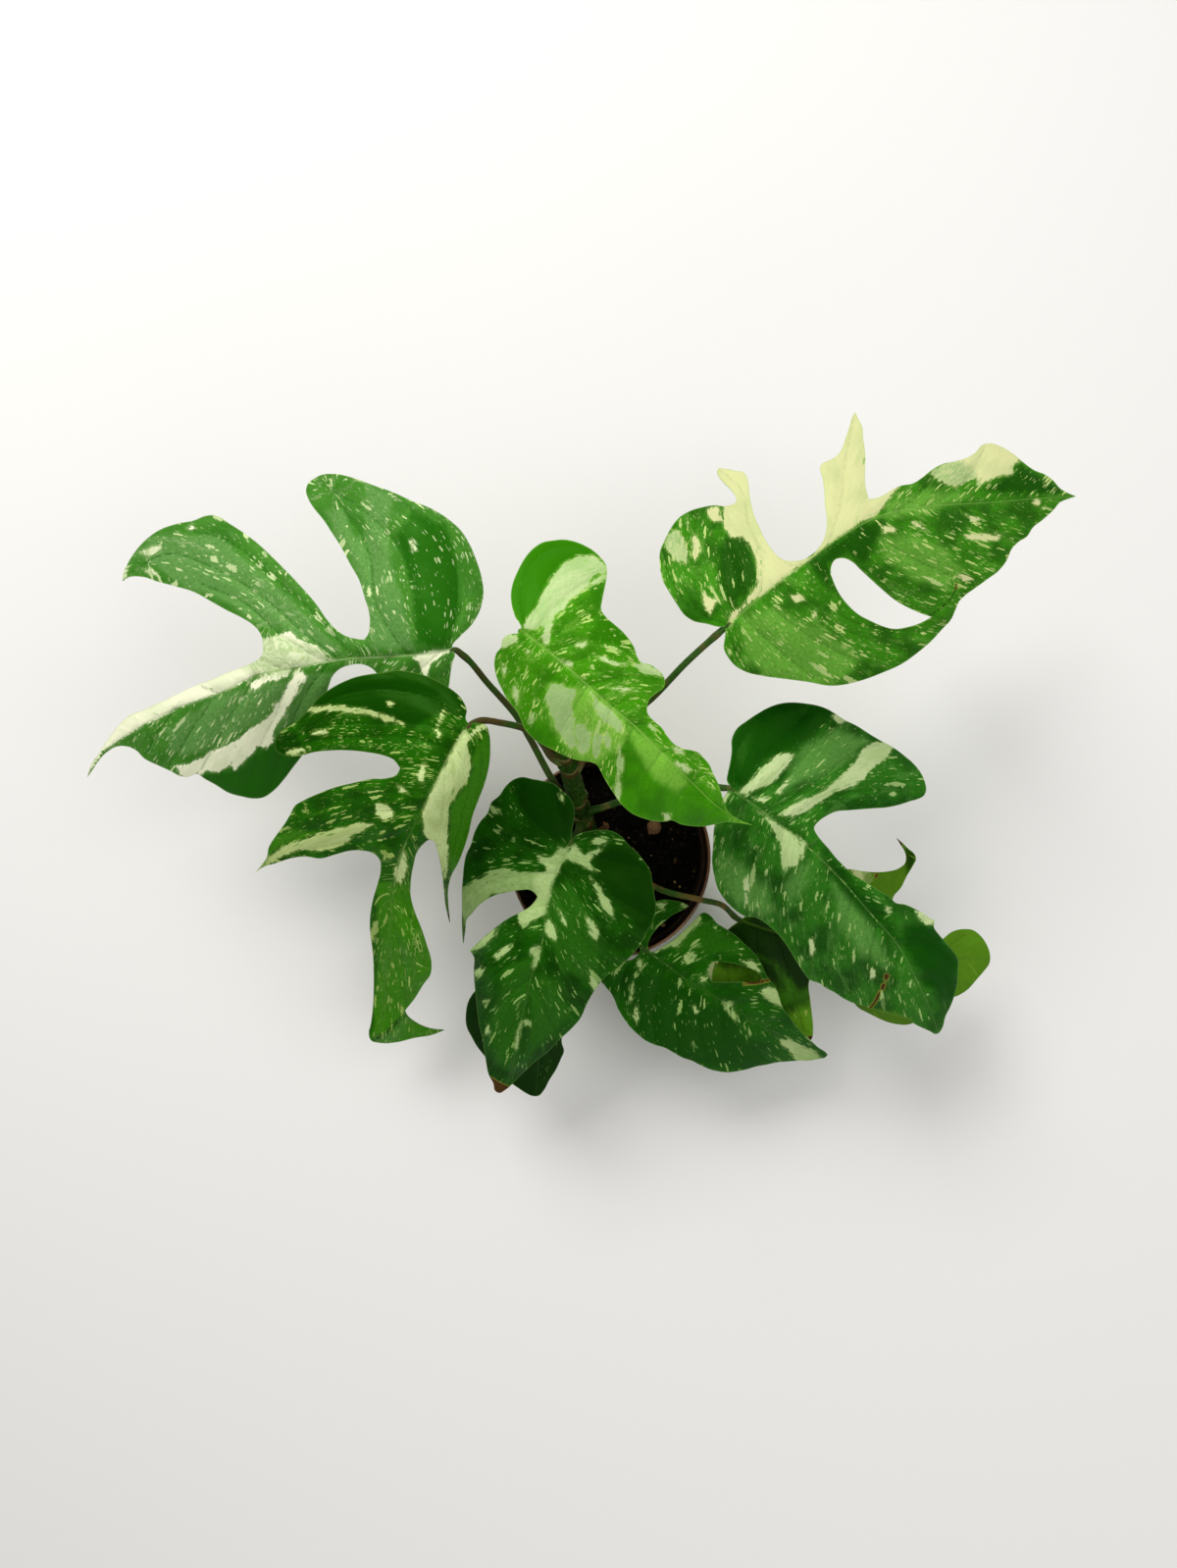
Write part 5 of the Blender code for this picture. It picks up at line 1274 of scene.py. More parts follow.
TOP_LOOKS = {
    "leaf_upper_left": leaf_material(
        "blade_upper_left", base=(64, 126, 34), deep=(24, 92, 3), pale=(98, 146, 74),
        cream=(247, 249, 214), cream_low=(168, 190, 132), fleck=(212, 226, 168), flecks=1.25, seed=1.0,
        mottle=1.3, aged=0.2, varied=0.45,
        soft=4.0, crease=0.65, blotches=0.25,
    ),
    "leaf_middle_left": leaf_material(
        "blade_middle_left", base=(24, 88, 3), deep=(12, 60, 1), pale=(62, 130, 16),
        cream=(204, 222, 154), cream_low=(166, 184, 112), fleck=(164, 190, 98), flecks=1.45, seed=2.0,
        ribbed=0.2, soft=3.0, crease=0.2,
    ),
    "leaf_top_new": leaf_material(
        "blade_young", base=(58, 138, 2), deep=(42, 114, 1), pale=(124, 184, 62),
        cream=(188, 208, 148), cream_low=(150, 186, 112), fleck=(190, 218, 118), flecks=1.6, seed=3.0,
        marble=0.55, ribbed=0.4, soft=5.0, crease=0.12,
    ),
    "leaf_upper_right": leaf_material(
        "blade_upper_right", base=(50, 124, 12), deep=(12, 64, 2), pale=(102, 162, 56),
        cream=(206, 208, 150), cream_low=(146, 174, 112), fleck=(192, 210, 126), flecks=1.3, seed=4.0,
        ribbed=0.3, soft=6.0, crease=0.3, valley=0.3, blotches=0.25, aged=0.15, varied=0.8,
    ),
    "leaf_right": leaf_material(
        "blade_right", base=(36, 104, 14), deep=(6, 62, 1), pale=(90, 144, 62),
        cream=(192, 208, 152), cream_low=(160, 184, 120), fleck=(160, 190, 112), flecks=0.8, seed=5.0,
        ribbed=0.22, soft=7.0, crease=0.3, valley=0.2,
    ),
    "leaf_front": leaf_material(
        "blade_front", base=(19, 76, 3), deep=(8, 48, 1), pale=(38, 94, 16),
        cream=(166, 190, 124), cream_low=(128, 158, 90), fleck=(142, 176, 96), flecks=0.65, seed=6.0,
        ribbed=0.2, soft=6.0, crease=0.3, valley=0.3,
    ),
    "leaf_lower_right": leaf_material(
        "blade_lower_right", base=(20, 80, 3), deep=(9, 60, 1), pale=(40, 98, 14),
        cream=(170, 192, 126), cream_low=(134, 164, 92), fleck=(144, 176, 96), flecks=1.0, seed=7.0,
        ribbed=0.12, soft=6.0, crease=0.25, valley=0.3,
    ),
    # Its deep green is near black, mostly for the painted shadow under the right leaf.
    "leaf_low_right": leaf_material(
        "blade_low_right", base=(54, 112, 12), deep=(4, 32, 1), pale=(104, 160, 32),
        cream=(206, 214, 150), cream_low=(160, 180, 100), fleck=(150, 178, 72), flecks=0.5, seed=8.0,
        ribbed=0.2, soft=6.0, mottle=0.8,
    ),
    "leaf_low_front": leaf_material(
        "blade_low_front", base=(18, 60, 5), deep=(9, 40, 2), pale=(40, 88, 22),
        cream=(178, 190, 120), cream_low=(140, 160, 84), fleck=(100, 138, 62), flecks=0.6, seed=9.0,
        ribbed=0.2, soft=5.0,
    ),
}
UNDER = under_material("blade_underside", linear(74, 122, 48), linear(138, 172, 92), 21.0)
UNDER_YOUNG = under_material("young_blade_underside", linear(104, 164, 44), linear(158, 198, 92), 22.0)


# ---- leaf blades -------------------------------------------------------------------
# How each blade is folded along its midrib and puckered between its side veins, in mm.
FOLDS = {
    "leaf_upper_left": (1.6, 1.0), "leaf_middle_left": (1.9, 1.0), "leaf_top_new": (1.5, 0.75),
    "leaf_upper_right": (1.9, 1.1), "leaf_right": (2.0, 1.35), "leaf_front": (1.9, 1.1),
    "leaf_lower_right": (1.6, 0.7), "leaf_low_right": (1.2, 0.3), "leaf_low_front": (1.2, 0.4),
}
BLADE = 0.45  # mm thick
TOPS = {}  # the plan points and the upper face's points of each blade


# Where a blade's edge is turned down: the turned part, its fold line, and how steep it is.
FLAPS = {
    "leaf_middle_left": [
        ([(376, 1064), (388, 1068), (406, 1066), (422, 1062), (440, 1058), (457, 1050), (438, 1044), (424, 1038), (413, 1030), (405, 1041), (395, 1052)],
         [(413, 1030), (405, 1041), (395, 1052), (376, 1063)], 0.75),
    ],
}


def side_vein_order(midrib, veins):
    """The side veins of each side of the midrib, in order from the base round to the tip."""
    first, last = midrib[0], midrib[-1]
    reach = (last - first) / max(np.hypot(*(last - first)), 1e-9)
    sides = {1: [], -1: []}
    for vein in veins:
        line = eased_line(vein, 4.0)
        probe = line[[int(len(line) * 0.6)]]
        side = int(to_path(probe, midrib)[2][0])
        start = to_path(line[:1], midrib)[1][0]
        sides[side].append((start + float((probe[0] - first) @ reach), line))
    return {side: [line for _, line in sorted(found, key=lambda one: one[0])] for side, found in sides.items()}


def blade_fields(flat, name, loops):
    """The painted numbers of a blade's points, and the distances that shape it."""
    midrib = eased_line(plan(VEINS[name][0]), 3.0)
    sides = side_vein_order(midrib, [plan(v) for v in VEINS[name][1:]])
    mid_d, mid_along, side = to_path(flat, midrib)
    length = float(np.sum(np.hypot(*np.diff(midrib, axis=0).T)))
    across = np.zeros(len(flat))
    along = np.zeros(len(flat))
    vein_d = np.full(len(flat), 60.0)
    for sign, lines in sides.items():
        rows = np.where(side == sign)[0]
        if not len(rows) or not lines:
            continue
        found = [to_path(flat[rows], line) for line in lines]
        vein_d[rows] = np.min([f[0] for f in found], axis=0)
        found = [to_path(flat[rows], np.vstack([line, line[-1] + (line[-1] - line[-4]) * 16.0])) for line in lines]
        distance = np.array([f[0] for f in found])
        run = np.array([f[1] for f in found])
        nearest = distance.argmin(0)
        index = np.arange(len(rows))
        lower = np.clip(nearest - 1, 0, len(lines) - 1)
        upper = np.clip(nearest + 1, 0, len(lines) - 1)
        d_low = np.where(lower == nearest, 1e6, distance[lower, index])
        d_up = np.where(upper == nearest, 1e6, distance[upper, index])
        other = np.where(d_low < d_up, lower, upper)
        d0 = distance[nearest, index]
        d1 = np.where(other == nearest, d0 + 30.0, distance[other, index])
        share = d0 / np.maximum(d0 + d1, 1e-6)
        gaps = [float(to_path(b[[int(len(b) * 0.6)]], a)[0][0]) for a, b in zip(lines, lines[1:])]
        rows_at = np.concatenate([[0.0], np.cumsum(np.clip(gaps, 14.0, 80.0))]) if gaps else np.zeros(1)
        place = rows_at[nearest] + (rows_at[other] - rows_at[nearest]) * share
        # Past the first and the last vein of the fan, the run goes on at the plan's own scale.
        for end, neighbour, way in ((0, 1, -1.0), (len(lines) - 1, len(lines) - 2, 1.0)):
            if len(lines) < 2:
                break
            probe = lines[neighbour][[len(lines[neighbour]) // 2]]
            inner = to_path(probe, lines[end])[2][0]
            outer = (nearest == end) & (found[end][2] != inner)
            place = np.where(outer, rows_at[end] + way * d0, place)
            share = np.where(outer, 0.0, share)
        across[rows] = place + (900.0 if sign > 0 else 0.0)
        along[rows] = run[nearest, index] * (1 - share) + run[other, index] * share
    edge = np.min([to_path(flat, loop, closed=True)[0] for loop in loops], axis=0)
    mid_w = np.interp(mid_along / length, [0, 0.1, 0.6, 1.0], [2.0, 1.7, 1.0, 0.4])
    return dict(across=across, along=along, vein_d=vein_d, mid_d=mid_d, mid_w=mid_w, edge=edge, mid_along=mid_along)


def blade_heights(name, flat, sheet, fields):
    fold, pucker = FOLDS[name]
    near_tip = np.clip(1.25 - fields["mid_along"] / max(float(fields["mid_along"].max()), 1e-6), 0.25, 1.0)
    z = sheet.heights(flat)
    z = z - fold * near_tip * np.exp(-fields["mid_d"] / 9.0)
    seen = np.clip(fields["edge"] / 8.0, 0.0, 1.0)
    z = z + pucker * (1.0 - np.exp(-((fields["vein_d"] / 7.0) ** 2))) * seen
    seed = 10.0 + len(name) * 1.7
    z = z + 0.7 * wave(flat, 46.0, seed) + 0.25 * wave(flat, 16.0, seed + 5.0) * seen
    for flap, fold_line, drop in FLAPS.get(name, []):
        off = to_path(flat, plan(fold_line))[0] * PLAN_UNIT
        z = z - np.where(inside(flat, plan(flap)), np.minimum(off * drop, 5.0), 0.0)
    return z


def make_blade(name):
    leaf = LEAVES[name]
    step = 1.9
    loops = [eased(leaf["outline"], step)] + [eased(hole, step) for hole in leaf["holes"]]
    midrib = eased_line(plan(VEINS[name][0]), CELL)

    def within(points):
        found = inside(points, loops[0])
        for hole in loops[1:]:
            found &= ~inside(points, hole)
        return found

    def clear(points):
        return np.min([to_path(points, loop, closed=True)[0] for loop in loops], axis=0)

    midrib = midrib[within(midrib)]
    midrib = midrib[clear(midrib) > 0.8]
    low, high = loops[0].min(0), loops[0].max(0)
    grid = []
    row = 0
    y = low[1]
    while y < high[1]:
        x = low[0] + (0.5 * CELL if row % 2 else 0.0)
        while x < high[0]:
            grid.append((x, y))
            x += CELL
        y += CELL * 0.866
        row += 1
    grid = np.array(grid) + rng.uniform(-0.2, 0.2, (len(grid), 2)) * CELL
    grid = grid[within(grid)]
    grid = grid[clear(grid) > 0.55 * CELL]
    grid = grid[to_path(grid, midrib)[0] > 0.55 * CELL]

    points, edges = [], []
    for loop in loops:
        first = len(points)
        points += list(loop)
        edges += [(first + i, first + (i + 1) % len(loop)) for i in range(len(loop))]
    first = len(points)
    points += list(midrib)
    edges += [
        (first + i, first + i + 1)
        for i in range(len(midrib) - 1)
        if np.hypot(*(midrib[i + 1] - midrib[i])) < 2.0 * CELL
    ]
    points += list(grid)
    made = delaunay_2d_cdt([Vector(p) for p in points], edges, [], 0, 1e-3)
    flat = np.array([tuple(p) for p in made[0]])
    faces = np.array([f for f in made[2] if len(f) == 3])
    centres = flat[faces].mean(1)
    faces = faces[within(centres)]
    a, b, c = (flat[faces[:, i]] for i in range(3))
    turn = (b[:, 0] - a[:, 0]) * (c[:, 1] - a[:, 1]) - (b[:, 1] - a[:, 1]) * (c[:, 0] - a[:, 0])
    faces = faces[np.abs(turn) > 0.02]
    turn = turn[np.abs(turn) > 0.02]
    faces[turn < 0] = faces[turn < 0][:, ::-1]
    used, index = np.unique(faces, return_inverse=True)
    flat, faces = flat[used], index.reshape(-1, 3)

    fields = blade_fields(flat, name, loops)
    z = blade_heights(name, flat, Sheet(leaf["marks"]), fields)
    young = name == "leaf_top_new"
    under = UNDER_YOUNG if young else UNDER
    obj = new_object(
        "blade_" + name[5:],
        carried(flat, z),
        faces,
        [TOP_LOOKS[name], under],
    )
    patches = {key: signed(flat, PATCHES[name][key]) for key in ("cream", "dark", "light", "calm", "dry", "glow")}
    paint(obj, "sheet_at", np.column_stack([flat, np.zeros(len(flat))]))
    paint(obj, "flow", np.column_stack([fields["across"], fields["along"], fields["edge"]]))
    paint(obj, "patch_a", np.column_stack([patches["cream"], patches["dark"], patches["light"]]))
    paint(obj, "patch_b", np.column_stack([patches["calm"], patches["dry"], patches["glow"]]))
    paint(obj, "dull", signed(flat, PATCHES[name].get("dull", [])))
    # Distances to the painted shade lines along folds and overlapping lobes.
    shade_lines = [to_path(flat, plan(line))[0] for line in PATCHES[name].get("shade_lines", [])]
    paint(obj, "shade_line_distance", np.min([np.full(len(flat), 60.0)] + shade_lines, axis=0))
    paint(obj, "veins", np.column_stack([fields["mid_d"], fields["vein_d"], fields["mid_w"]]))
    TOPS[obj.name] = flat.copy(), carried(flat, z)
    thick = obj.modifiers.new("thickness", "SOLIDIFY")
    thick.thickness = BLADE * MM
    thick.offset = -1.0
    thick.use_even_offset = False
    thick.material_offset = 1
    bpy.context.view_layer.update()
    solid = bpy.data.meshes.new_from_object(obj.evaluated_get(bpy.context.evaluated_depsgraph_get()))
    obj.modifiers.clear()
    obj.data = solid
    solid.set_sharp_from_angle(angle=math.radians(55))
    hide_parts(name)
    return obj


# ---- swept pieces ----------------------------------------------------------------
def sweep(name, line, radii, mats, sides=16, groove=0.0, flat_by=0.0, blunt=True, warts=0.0, seed=0.0):
    """A closed round bar along a 3D line in mm; groove presses in its top side, and flat_by flattens it."""
    line = np.asarray(line, float)
    tangents = np.gradient(line, axis=0)
    tangents /= np.linalg.norm(tangents, axis=1)[:, None]
    up = np.array((0.0, 0.0, 1.0)) if abs(tangents[:, 2]).mean() < 0.8 else np.array((0.0, 1.0, 0.0))
    length = np.concatenate([[0.0], np.cumsum(np.linalg.norm(np.diff(line, axis=0), axis=1))])
    points, along, around = [], [], []
    for i, (at, tangent) in enumerate(zip(line, tangents)):
        side = np.cross(tangent, up)
        side /= np.linalg.norm(side)
        top = np.cross(side, tangent)
        for k in range(sides):
            angle = 2 * math.pi * k / sides
            r = radii[i] * (1.0 - groove * max(0.0, math.cos(angle)) ** 6)
            if warts:
                r *= 1.0 + warts * noise.noise(Vector((at[0] * 0.5 + math.cos(angle), at[1] * 0.5 + math.sin(angle), at[2] * 0.5 + seed)))
            points.append(at + (top * math.cos(angle) * (1.0 - flat_by) + side * math.sin(angle)) * r)
            along.append(length[i])
            around.append(k / sides)
    count = len(line)
    faces = []
    for i in range(count - 1):
        for k in range(sides):
            n = (k + 1) % sides
            faces.append((i * sides + k, i * sides + n, (i + 1) * sides + n, (i + 1) * sides + k))
    for end, order in ((0, 1), (count - 1, -1)):
        push = 0.45 * radii[end] if blunt else 0.05
        points.append(line[end] - order * tangents[end] * push)
        along.append(length[end])
        around.append(0.0)
        centre = len(points) - 1
        for k in range(sides):
            pair = (end * sides + (k + 1) % sides, end * sides + k)
            faces.append((centre, *pair) if order > 0 else (centre, *pair[::-1]))
    obj = new_object(name, points, faces, mats)
    net = bmesh.new()
    net.from_mesh(obj.data)
    bmesh.ops.recalc_face_normals(net, faces=net.faces)
    net.to_mesh(obj.data)
    net.free()
    paint(obj, "along", along)
    paint(obj, "around", around)
    return obj


def bark_noise(net, stretch=0.25):
    """Lengthwise fibres from the along and around numbers of a swept piece."""
    along = net.attribute("along", vector=False)
    around = net.attribute("around", vector=False)
    turn = around * (2 * math.pi)
    ring = net.join(net.math("COSINE", turn) * 2.0, net.math("SINE", turn) * 2.0, along * stretch)
    return along, net.noise(ring, 2.2, 3.0, 0.6), net.noise(ring, 7.0, 2.0, 0.6)


def petiole_material(name, green, side, blush, blush_share, seed):
    net = Net(name)
    at = net.place()
    along, fibres, fine = bark_noise(net)
    patches = net.noise(net.moved(at, (1, 1, 1), (seed * 11, 0, 0)), 0.13, 2.0, 0.5)
    colour = net.mix(net.step(fibres, 0.35, 0.65), green, side)
    colour = net.mix(net.step(patches + (fine - 0.5) * 0.4, 0.62 - blush_share * 0.35, 0.72 - blush_share * 0.2) * 0.8, colour, blush)
    colour = net.mix((1.0 - net.step(along, 0.0, 9.0)) * 0.35, colour, linear(120, 140, 60))
    specks = net.step(net.noise(at, 1.6, 2.0, 0.6), 0.68, 0.74)
    colour = net.mix(specks * 0.5, colour, linear(128, 104, 60))
    normal = net.bump(fine + fibres, 0.45, 0.25)
    return net.finish(colour, 0.46 + (fine - 0.5) * 0.2, normal, Specular_IOR_Level=0.22, Specular_Tint=(0.85, 1.0, 0.6, 1.0))


STEM_LINE = [
    (-8.6, 5.4, 60.0), (-8.6, 5.4, 83.0), (-10.2, 10.5, 89.0), (-14.7, 22.6, 100.0),
    (-18.5, 37.7, 120.0), (-21.6, 49.5, 135.0), (-26.0, 62.0, 149.0),
]
STEM_NODES = (87.5, 90.5, 101.0, 104.5, 112.5, 134.0, 141.0)  # heights where leaves have grown, in mm
PETIOLES = {
    "upper_left": (112, [(-58, 78, 121), (-81, 120, 129), (-94, 142, 136), (-125, 178, 145), (-150, 206, 151)], (58, 48, 22), 0.7),
    "middle_left": (141, [(-86, 131, 157), (-110, 137, 161.5), (-133, 139, 163.5)], (70, 44, 22), 1.0),
    "top_new": (None, [(-66, 158, 172), (-76, 195, 192), (-87, 222, 206)], (110, 120, 48), 0.3),
    "upper_right": (134, [(0, 130, 149), (40, 160, 162), (80, 201, 172), (110, 228, 176.5)], (96, 68, 36), 0.55),
    "right": (104, [(-5, 52, 120), (30, 62, 133), (75, 69, 142.5), (114, 71, 146.5)], (110, 96, 46), 0.35),
    "front": (101, [(-33, 26, 109.5), (-37, 21, 111.5)], (100, 88, 40), 0.3),
    "lower_right": (87, [(5, -20, 90.5), (20, -55, 92.8), (27, -78, 92.9)], (96, 78, 40), 0.4),
    "low_right": (90, [(20, -14, 92.5), (50, -32, 95.5), (92, -43, 97), (113, -48, 92.5), (130, -60, 84)], (110, 78, 38), 0.6),
    "low_front": (88.5, [(-34, -30, 94), (-37, -64, 97)], (84, 66, 36), 0.5),
}


def stem_at(z):
    """A point on the stem's axis at height z, and the axis there."""
    line = np.array(STEM_LINE)
    z = min(max(z, line[0, 2]), line[-1, 2])
    i = min(int(np.searchsorted(line[:, 2], z, side="right")) - 1, len(line) - 2)
    share = (z - line[i, 2]) / (line[i + 1, 2] - line[i, 2])
    axis = line[i + 1] - line[i]
    return line[i] + axis * share, axis / np.linalg.norm(axis)


def make_stem():
    net = Net("stem_bark")
    at = net.place()
    x, y, z = net.parts(at)
    along, fibres, fine = bark_noise(net, 0.5)
    colour = net.mix(net.step(fibres, 0.36, 0.62), linear(42, 78, 14), linear(14, 42, 5))
    patches = net.noise(at, 0.16, 3.0, 0.6)
    colour = net.mix(net.step(patches, 0.56, 0.68) * 0.55, colour, linear(80, 56, 28))
    for i, height in enumerate(STEM_NODES):
        wobble = z + (fine - 0.5) * 1.6
        ring = 1.0 - net.step(net.size(wobble - height), 0.3, 0.9)
        below = 1.0 - net.step(net.size(wobble - (height - 1.5)), 0.4, 1.3)
        colour = net.mix(below * 0.75, colour, linear(70, 46, 22))
        colour = net.mix(ring * 0.55, colour, linear(138, 124, 76))
    specks = net.step(net.noise(at, 1.1, 2.0, 0.6), 0.66, 0.72)
    colour = net.mix(specks * 0.6, colour, linear(146, 112, 70))
    normal = net.bump(fine * 0.6 + fibres, 0.6, 0.5)
    bark = net.finish(colour, 0.55 + (fine - 0.5) * 0.25, normal, Specular_IOR_Level=0.1, Specular_Tint=(0.8, 1.0, 0.4, 1.0))
    line = eased_line(STEM_LINE, 0.7)
    lengths = np.array([4.8, 5.4, 5.5, 5.5, 5.3, 5.0, 4.2])
    radii = np.interp(line[:, 2], [p[2] for p in STEM_LINE], lengths) - 0.35
    for height in STEM_NODES:
        radii = radii + 0.75 * np.exp(-(((line[:, 2] - height) / 1.1) ** 2)) - 0.35 * np.exp(-(((line[:, 2] - height - 2.6) / 1.3) ** 2))
    stem = sweep("stem", line, radii, bark, sides=40, warts=0.09, seed=3.0)
    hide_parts("main_stem")
    return bark


def make_petiole(name, height, marks, blush, share):
    leaf = "leaf_" + name
    blade = bpy.data.objects["blade_" + name]
    places = carried(np.array([m[:2] for m in marks], float), np.array([m[2] for m in marks], float))
    if height is None:
        foot, axis = stem_at(149.0)
        start = [foot - axis * 5.0, foot]
    else:
        foot, axis = stem_at(height - 5.0)
        aim = places[0] - foot
        aim -= axis * (aim @ axis)
        aim /= np.linalg.norm(aim)
        start = [foot + aim * 2.8, foot + aim * 4.6 + axis * 3.2]
    # The petiole meets the blade at the first point of its midrib, from below.
    base = plan(VEINS[leaf][0])[0]
    joint = nearest_top(blade, base)
    inward = plan(VEINS[leaf][0])[1]
    further = nearest_top(blade, base + (inward - base) / max(np.hypot(*(inward - base)), 1e-6) * 7.0)
    joint = joint - np.array((0, 0, 0.9))
    further = further - np.array((0, 0, 1.0))
    places = [p for p in places if np.linalg.norm(p - joint) > 4.0]
    line = eased_line(start + places + [joint, further], 0.8)
    run = np.concatenate([[0.0], np.cumsum(np.linalg.norm(np.diff(line, axis=0), axis=1))])
    total = run[-1]
    radii = np.interp(run, [0, 5, 14, max(15, total - 13), max(16, total - 9), max(17, total - 4), total],
                      [3.0, 2.8, 1.75, 1.5, 1.75, 1.45, 0.7])
    green, side = ((96, 150, 40), (70, 128, 24)) if name == "top_new" else ((44, 84, 18), (26, 56, 9))
    look = petiole_material("petiole_" + name + "_skin", linear(*green), linear(*side), linear(*blush), share, float(len(name)) + height if height else 2.0)
    piece = sweep("petiole_stalk_" + name, line, radii, look, sides=20, groove=0.16, seed=float(len(name)))
    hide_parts("petiole_" + name)
    return piece


def nearest_top(blade, flat):
    """The point of a blade's upper face that the plan shows at a plan point, in mm."""
    at, co = TOPS[blade.name]
    near = np.argsort(((at - flat) ** 2).sum(1))[:4]
    z = float(np.mean(co[near, 2]))
    return carried(np.array([flat]), np.array([z]))[0]


def make_underrib(name):
    """The midrib stands out as a tapering ridge under the blade."""
    blade = bpy.data.objects["blade_" + name[5:]]
    flat = eased_line(plan(VEINS[name][0]), 3.0)
    leaf = LEAVES[name]
    loop = eased(leaf["outline"], 3.0)
    flat = flat[inside(flat, loop)]
    flat = flat[to_path(flat, loop, closed=True)[0] > 1.5]
    places = np.array([nearest_top(blade, p) for p in flat])
    for _ in range(2):
        places[1:-1] = (places[:-2] + 2 * places[1:-1] + places[2:]) / 4
    share = np.linspace(0, 1, len(places))
    radii = np.interp(share, [0, 0.15, 0.7, 1.0], [1.15, 0.95, 0.5, 0.22])
    places[:, 2] -= 0.25 + radii
    young = name == "leaf_top_new"
    rib = sweep("rib_under_" + name[5:], places, radii, RIB_YOUNG if young else RIB, sides=10, blunt=False)
    return rib


RIB = petiole_material("rib_skin", linear(122, 158, 78), linear(96, 138, 56), linear(120, 118, 64), 0.15, 31.0)
RIB_YOUNG = petiole_material("young_rib_skin", linear(150, 192, 84), linear(124, 172, 60), linear(140, 150, 80), 0.1, 33.0)


# ---- pot, soil and what lies on it -----------------------------------------------
def turned(name, profile, steps, mats):
    """A closed turned shape from a profile of (r, z) in mm that starts and ends on the axis."""
    points, faces = [], []
    rows = [i for i, (r, _) in enumerate(profile) if r > 1e-6]
    index = {}
    for i, (r, z) in enumerate(profile):
        if r <= 1e-6:
            index[i] = [len(points)] * steps
            points.append((0.0, 0.0, z))
        else:
            index[i] = list(range(len(points), len(points) + steps))
            points += [(r * math.cos(2 * math.pi * k / steps), r * math.sin(2 * math.pi * k / steps), z) for k in range(steps)]
    for i in range(len(profile) - 1):
        for k in range(steps):
            n = (k + 1) % steps
            ring = [index[i][k], index[i][n], index[i + 1][n], index[i + 1][k]]
            face = [v for j, v in enumerate(ring) if v not in ring[:j]]
            if len(face) > 2:
                faces.append(face)
    obj = new_object(name, points, faces, mats)
    net = bmesh.new()
    net.from_mesh(obj.data)
    bmesh.ops.recalc_face_normals(net, faces=net.faces)
    net.to_mesh(obj.data)
    net.free()
    return obj


def rounded(profile, radius=0.5, parts=4):
    """The profile with its corners rounded."""
    out = [profile[0]]
    for i in range(1, len(profile) - 1):
        a, b, c = (np.array(profile[j], float) for j in (i - 1, i, i + 1))
        la, lc = np.hypot(*(a - b)), np.hypot(*(c - b))
        cut = min(radius, 0.45 * la, 0.45 * lc)
        p, q = b + (a - b) / la * cut, b + (c - b) / lc * cut
        for k in range(parts + 1):
            t = k / parts
            out.append(tuple((1 - t) ** 2 * p + 2 * t * (1 - t) * b + t * t * q))
    out.append(profile[-1])
    return out


